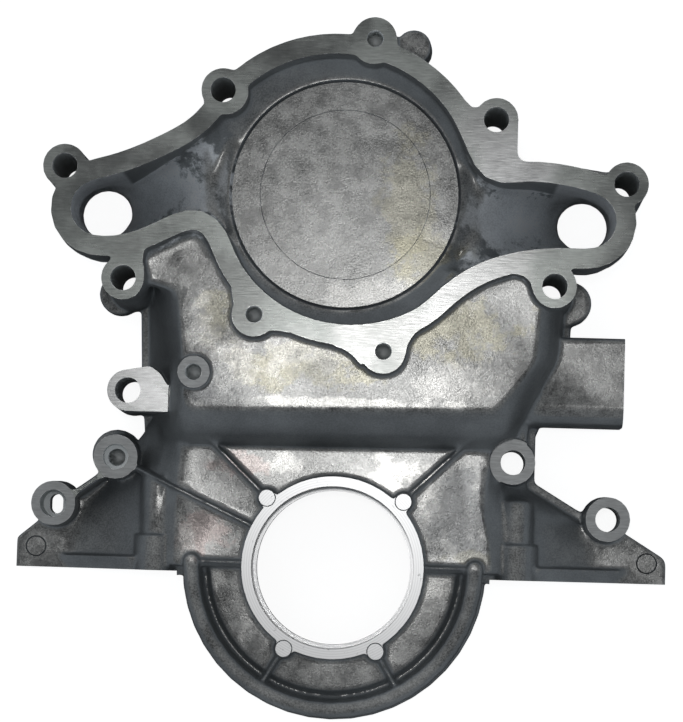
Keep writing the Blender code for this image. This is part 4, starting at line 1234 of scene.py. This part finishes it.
@dataclass
class PanRail:
    """Oil pan rail with its two tapped posts."""

    bottom = -0.0036
    bolt_x: float = 0.0838
    post_spots: tuple = ((-0.0830, 0.040), (0.0848, 0.034))
    bolt_z: float = 0.0195
    tap_depth: float = 0.022
    post_foot: tuple = (0.0100, 0.0348, -0.0046, 0.0128)
    post_neck: tuple = (0.0074, 0.0328, 0.0100)

    def holes(self) -> list[Hole]:
        """List the two tapped holes, drilled from below.

        Returns:
            The holes.
        """
        sizes = (self.bolt_z, TAP_RADIUS, self.bottom, self.bottom + self.tap_depth, Axis.PAN, TAP_PITCH)
        return [Hole(side * self.bolt_x, *sizes) for side in (-1, 1)]

    def posts(self) -> list[Item]:
        """Build the round posts that stand out of the skirt above both tapped holes.

        Returns:
            A thick foot and a thinner neck for each post.
        """
        result = []
        for x, reach in self.post_spots:
            for radius, top, low, high in (self.post_foot, (*self.post_neck, reach)):
                middle = row(x, (low + high) / 2, top - radius)
                result.append(cylinder("post", middle, radius, high - low, Axis.PAN))
        return result

    def facing(self) -> list[Item]:
        """Make the cutters that leave both rails flat.

        Returns:
            The closed tools.
        """
        near = HalfRound.rear_radius + 0.0012
        return [
            box("rail_left", row(-0.2, self.bottom - 0.01, -0.05), row(-near, self.bottom, 0.1)),
            box("rail_right", row(near, self.bottom - 0.01, -0.05), row(0.2, self.bottom, 0.1)),
        ]


@dataclass
class LowBosses:
    """Bolt bosses below the pump face: place, hole radius, bottom of the hole and height of each."""

    radius = 0.0104
    spots = (
        (-0.1314, 0.0262, 0.0063, 0.010, 0.028),
        (0.0822, 0.0511, 0.00575, 0.0, 0.028),
        (0.1268, 0.0259, 0.00575, 0.0, 0.028),
        (-0.1030, 0.0487, 0.0059, 0.021, 0.028),
        (-0.0972, 0.0792, 0.0059, 0.0, 0.041),
    )
    pointer = (-0.0658, 0.0876)
    pointer_top = 0.0575
    pointer_radius: float = 0.0078
    pointer_depth: float = 0.012
    dowel_tap_radius: float = 0.0038
    dowel_tap_depth: float = 0.020
    slot_radius: float = 0.0031
    slot_half: float = 0.0015
    slot_shift: float = 0.0003
    slot_over: float = 0.0004
    scallop_top: float = 0.047
    tool_high: float = 0.008
    tool_over: tuple = (0.0004, 0.0007, 0.0004, 0.0004)
    pad_box: tuple = (-0.012, -0.012, 0.0190, 0.0130)
    stock_cut: float = 0.003

    def holes(self) -> list[Hole]:
        """List the holes of the lower bosses.

        Returns:
            The plain holes and the two tapped ones.
        """
        x, y, _, _, top = self.spots[3]
        low = self.pointer_top - self.pointer_depth
        return [Hole(*spot) for spot in self.spots] + [
            Hole(x, y, self.dowel_tap_radius, top - self.dowel_tap_depth, top, thread_pitch=TAP_PITCH),
            Hole(*self.pointer, TAP_RADIUS, low, self.pointer_top, thread_pitch=TAP_PITCH),
        ]

    @staticmethod
    def near(x: np.ndarray, y: np.ndarray) -> np.ndarray:
        """Find the points on one of the bosses or on the pad.

        Args:
            x: Places across, from the crankshaft axis.
            y: Places up from it.

        Returns:
            True for each such point.
        """
        found = (x > -0.110) & (x < -0.075) & (y > 0.066) & (y < 0.094)
        for boss in LowBosses.spots:
            found |= np.hypot(x - boss[0], y - boss[1]) < LowBosses.radius + 0.0012
        return found

    @staticmethod
    def on_pad(x: float, y: float) -> bool:
        """Whether a point lies on the pad beside the left water port."""
        return -0.109 < x < -0.076 and 0.067 < y < 0.093

    def slot(self) -> list[Item]:
        """Make the cutters of the slot that the block's locating pin enters.

        Returns:
            Its two round ends and its middle.
        """
        x, y, _, floor, _ = self.spots[0]
        x -= self.slot_shift
        length = floor + self.tool_high
        middle = floor + self.slot_over - length / 2
        tools = []
        for side in (-1, 1):
            end = row(x, y + side * self.slot_half, middle)
            tools.append(cylinder("slot_end", end, self.slot_radius, length))
        low = row(x - self.slot_radius, y - self.slot_half, middle - length / 2)
        high = row(x + self.slot_radius, y + self.slot_half, middle + length / 2)
        return tools + [box("slot_middle", low, high)]

    def spotfaces(self) -> list[Item]:
        """Make the spotfacing cutters over the round bosses.

        Returns:
            The closed tools.
        """
        tools = []
        tops = (self.tool_high, self.scallop_top - self.spots[1][4], self.tool_high, self.tool_high)
        for (x, y, _, _, top), over, long in zip(self.spots, self.tool_over, tops):
            tools.append(cylinder("spotface", row(x, y, top + long / 2), self.radius + over, long))
        x, y = self.pointer
        middle = row(x, y, self.pointer_top + self.tool_high / 2)
        return tools + [cylinder("spotface", middle, self.pointer_radius, self.tool_high)]

    def facing(self) -> list[Item]:
        """Make the milling cutter over the pad.

        Returns:
            The closed tool.
        """
        x, y, _, _, top = self.spots[4]
        left, down, right, up = self.pad_box
        high = top + self.stock_cut
        return [box("pad_face", row(x + left, y + down, top), row(x + right, y + up, high))]


@dataclass
class EjectorMarks:
    """Round marks that the die's ejector pins leave on the ears and round the seal ring's pads."""

    spots: tuple = ((-0.1405, 0.0061), (0.1464, 0.0060))
    top: float = 0.012
    radius: float = 0.0046
    width: float = 0.0007
    depth: float = 0.0006

    def cutters(self) -> list[Item]:
        """Tools that cut a fine ring round each mark."""
        return [self.mark(x, y, self.radius, self.top) for x, y in self.spots]

    def mark(self, x: float, y: float, radius: float, top: float) -> Item:
        """One ring-shaped tool."""
        section = ChamberDisc.vee(top, radius - self.width / 2, radius + self.width / 2, top - self.depth)
        return turned("mark", section, row(x, y), 48)


@dataclass
class SmallRibs:
    """Small ribs: two up the foot of the bulge and one between the bosses of the left ear."""

    lines: tuple = (
        ((-0.0560, 0.0554, 0.0402), (-0.0622, 0.0614, 0.0482)),
        ((0.0560, 0.0563, 0.0402), (0.0630, 0.0611, 0.0470)),
    )
    bar: tuple = ((-0.1080, 0.0408, 0.0280), (-0.1230, 0.0300, 0.0280))
    width: float = 0.0022
    depth: float = 0.004
    bar_width: float = 0.0032
    bar_depth: float = 0.018
    face_over: float = 0.002
    face_depth: float = 0.003
    face_inset: float = 0.06

    def bars(self, spare: float) -> list[Item]:
        """Build the ribs as cast.

        Args:
            spare: Spare metal on machined faces.

        Returns:
            The ribs and the bar.
        """
        ribs = [slab("rib", row(*start), row(*end), self.width, self.depth) for start, end in self.lines]
        start, end = (row(*spot) + Vector((0.0, 0.0, spare / 2)) for spot in self.bar)
        return ribs + [slab("bar", start, end, self.bar_width, self.bar_depth)]

    def facing(self) -> list[Item]:
        """Make the cutter over the bar.

        Returns:
            The closed tool.
        """
        start, end = (row(*spot) for spot in self.bar)
        lift = Vector((0.0, 0.0, self.face_depth))
        first = start.lerp(end, self.face_inset) + lift
        last = end.lerp(start, self.face_inset) + lift
        return [slab("bar_face", first, last, self.bar_width + self.face_over, self.face_depth)]


@dataclass
class FuelPumpPad:
    """Face of the fuel pump box with two tapped holes."""

    face = 0.1325
    middle_y: float = 0.08925
    middle_z: float = 0.019
    spread: float = 0.0145
    tap_shift: float = 0.002
    tap_depth: float = 0.012

    def holes(self) -> list[Hole]:
        """List the two tapped holes beside the window.

        Returns:
            The holes.
        """
        sizes = (self.middle_z - self.tap_shift, TAP_RADIUS, self.face - self.tap_depth, self.face)
        return [Hole(self.middle_y + side * self.spread, *sizes, Axis.SIDE, TAP_PITCH) for side in (-1, 1)]

    def facing(self) -> list[Item]:
        """Cutter that leaves the face flat."""
        return [box("fuel_face", row(self.face, 0.05, -0.02), row(self.face + 0.02, 0.13, 0.06))]


@dataclass
class Machining:
    """Everything done to the casting on machine tools."""

    flange: PumpFlange = field(default_factory=PumpFlange)
    disc: ChamberDisc = field(default_factory=ChamberDisc)
    ring: SealRing = field(default_factory=SealRing)
    rail: PanRail = field(default_factory=PanRail)
    bosses: LowBosses = field(default_factory=LowBosses)
    pad: FuelPumpPad = field(default_factory=FuelPumpPad)
    marks: EjectorMarks = field(default_factory=EjectorMarks)
    ribs: SmallRibs = field(default_factory=SmallRibs)

    def holes(self) -> list[Hole]:
        """Every drilled and tapped hole."""
        return self.flange.holes() + self.rail.holes() + self.bosses.holes() + self.pad.holes()

    def plugs(self, spare: float) -> list[Item]:
        """Make all metal that is added to the form before it is cast.

        Args:
            spare: Spare metal on machined faces.

        Returns:
            Closed pieces.
        """
        plugs = [hole.plug(spare) for hole in self.holes()] + [self.ring.plug(), self.disc.plug()]
        return plugs + self.disc.slope() + self.flange.swells() + self.rail.posts() + self.ribs.bars(spare)

    def cut(self, casting: Item, metals: dict[Skin, bpy.types.Material]) -> None:
        """Face, bore and drill the casting.

        Args:
            casting: The rough casting.
            metals: Material of each kind of surface.
        """
        for skin in Skin:
            casting.data.materials.append(metals[skin])
        back = [box("block_face", row(-0.2, -0.2, -0.05), row(0.2, 0.3, 0.0))]
        milled = back + self.flange.facing() + self.rail.facing() + self.bosses.facing() + self.pad.facing()
        milled += self.ribs.facing()
        combine(casting, milled, metals[Skin.MILLED])
        combine(casting, self.bosses.spotfaces(), metals[Skin.SPOTFACED])
        combine(casting, self.disc.cutters() + self.marks.cutters(), metals[Skin.CAST])
        combine(casting, self.ring.cutters(), metals[Skin.TURNED])
        combine(casting, self.ring.pads_up(), metals[Skin.TURNED], "UNION")
        top = self.ring.face + self.ring.pad_rise
        rims = [self.marks.mark(x, y, self.ring.pad_radius, top) for x, y in self.ring.pads]
        combine(casting, rims, metals[Skin.CAST])
        drilled = [hole.tool() for hole in self.holes()] + self.bosses.slot()
        combine(casting, drilled, metals[Skin.DRILLED])


@dataclass
class TimingCover:
    """The whole cover."""

    machining: Machining
    sharp: float = 38.0

    def build(self, node: Item) -> Item:
        """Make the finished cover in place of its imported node.

        Args:
            node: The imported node.

        Returns:
            The finished cover.
        """
        metals = {
            Skin.CAST: CastSkin("cast_skin").build(),
            Skin.MILLED: MilledFace("milled_face", (0.42, 0.44, 0.42), 0.25, with_painted_light=True).build(),
            Skin.TURNED: TurnedFace("turned_face", (0.86, 0.86, 0.86), 0.31).build(),
            Skin.DRILLED: Metal("drilled_wall", (0.86, 0.88, 0.88), 0.60).build(),
            Skin.SPOTFACED: MilledFace("spotface", (0.46, 0.47, 0.47), 0.42).build(),
        }
        rough = RoughCasting(node)
        cover = rough.build(self.machining.plugs(rough.stock))
        self.machining.cut(cover, metals)
        self.shade(cover)
        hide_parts(NODE)
        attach(cover, "root")
        log.info("cover of %d faces", len(cover.data.polygons))
        return cover

    def shade(self, cover: Item) -> None:
        """Smooth the cast skin and keep machined edges sharp."""
        cover.data.shade_smooth()
        cover.data.set_sharp_from_angle(angle=math.radians(self.sharp))


@dataclass
class Studio:
    """Pale floor, soft light and the camera of the photograph."""

    camera_spot: tuple = (0.033966, 0.005790, 1.503746)
    tilt: tuple = (0.0611852, 0.0222539, 0.0278314)
    focal_px: float = 3170.85
    flash: tuple = ((0.007114, 0.037441, 1.500), 0.10, 1.0)
    room_lamp: tuple = ((-0.55, 0.75, 1.30), 0.70, 1.0)
    wall_light: float = 0.52
    ceiling_light: float = 0.125
    sky: tuple = (0.8, 0.85, 0.9, 1.0)
    floor_size: float = 6.0
    floor_drop: float = 0.0002
    floor_grey: float = 0.6
    floor_mirrored: float = 0.12
    floor_glow: float = 0.90

    def build(self) -> None:
        """Set up the floor, the lights, the world and the camera."""
        self.floor()
        self.lamp("flash", *self.flash)
        self.lamp("room_light", *self.room_lamp)
        self.world()
        self.camera()
        log.info("floor, two lamps, room and camera")

    def floor(self) -> None:
        """Plain pale floor that the cover doesn't mirror as a bright sheet."""
        shape = bmesh.new()
        bmesh.ops.create_grid(shape, x_segments=1, y_segments=1, size=self.floor_size)
        item = linked("floor", shape)
        item.location.z = -self.floor_drop
        material, graph, shader = fresh("floor")
        seen = graph.add("ShaderNodeLightPath", {}, "Is Camera Ray")
        pair = [(tone, tone, tone, 1.0) for tone in (self.floor_mirrored, self.floor_grey)]
        look = {"Base Color": graph.blend(seen, *pair), "Roughness": 1.0, "Specular IOR Level": 0.0}
        look["Emission Color"] = graph.blend(seen, (0.0, 0.0, 0.0, 1.0), (*EVEN, 1.0))
        look["Emission Strength"] = self.floor_glow
        graph.fill(shader, look)
        item.data.materials.append(material)

    def lamp(self, name: str, spot: Triple, size: float, power: float) -> None:
        """Hang a soft square lamp that points at the cover.

        Args:
            name: Its name.
            spot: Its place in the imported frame.
            size: Its width.
            power: Its power in watts.
        """
        data = bpy.data.lights.new(name, "AREA")
        data.size = size
        data.energy = power
        item = bpy.data.objects.new(name, data)
        item.location = spot
        item.rotation_euler = (-Vector(spot)).to_track_quat("-Z", "Y").to_euler()
        bpy.context.scene.collection.objects.link(item)

    def world(self) -> None:
        """Dim room light, brighter from the walls than from the ceiling."""
        world = bpy.data.worlds.new("room")
        world.use_nodes = True
        graph = Graph(world.node_tree)
        way = graph.add("ShaderNodeTexCoord", {}, "Generated")
        up = graph.add("ShaderNodeSeparateXYZ", {0: way}, "Z")
        light = graph.span(up, 0.25, 0.97, self.wall_light, self.ceiling_light)
        graph.fill(world.node_tree.nodes["Background"], {"Color": self.sky, "Strength": light})
        bpy.context.scene.world = world

    def camera(self) -> None:
        """Camera where the photograph was taken from."""
        data = bpy.data.cameras.new("camera")
        data.sensor_fit = "HORIZONTAL"
        data.sensor_width = 36.0
        data.lens = self.focal_px / PICTURE_WIDTH * data.sensor_width
        data.clip_end = 20.0
        item = bpy.data.objects.new("camera", data)
        item.location = row(*self.camera_spot)
        turn = Matrix.Identity(3)
        for angle, axis in zip(self.tilt, "XYZ"):
            turn @= Matrix.Rotation(angle, 3, axis)
        item.rotation_euler = turn.to_euler()
        bpy.context.scene.collection.objects.link(item)
        bpy.context.scene.camera = item
        bpy.context.scene.view_settings.view_transform = "Standard"


def main() -> None:
    """Build the cover and its studio."""
    logging.basicConfig(level=logging.INFO, format="%(message)s")
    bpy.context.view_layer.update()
    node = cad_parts[NODE]
    TimingCover(Machining()).build(node)
    Studio().build()


if __name__ == "__main__":
    main()
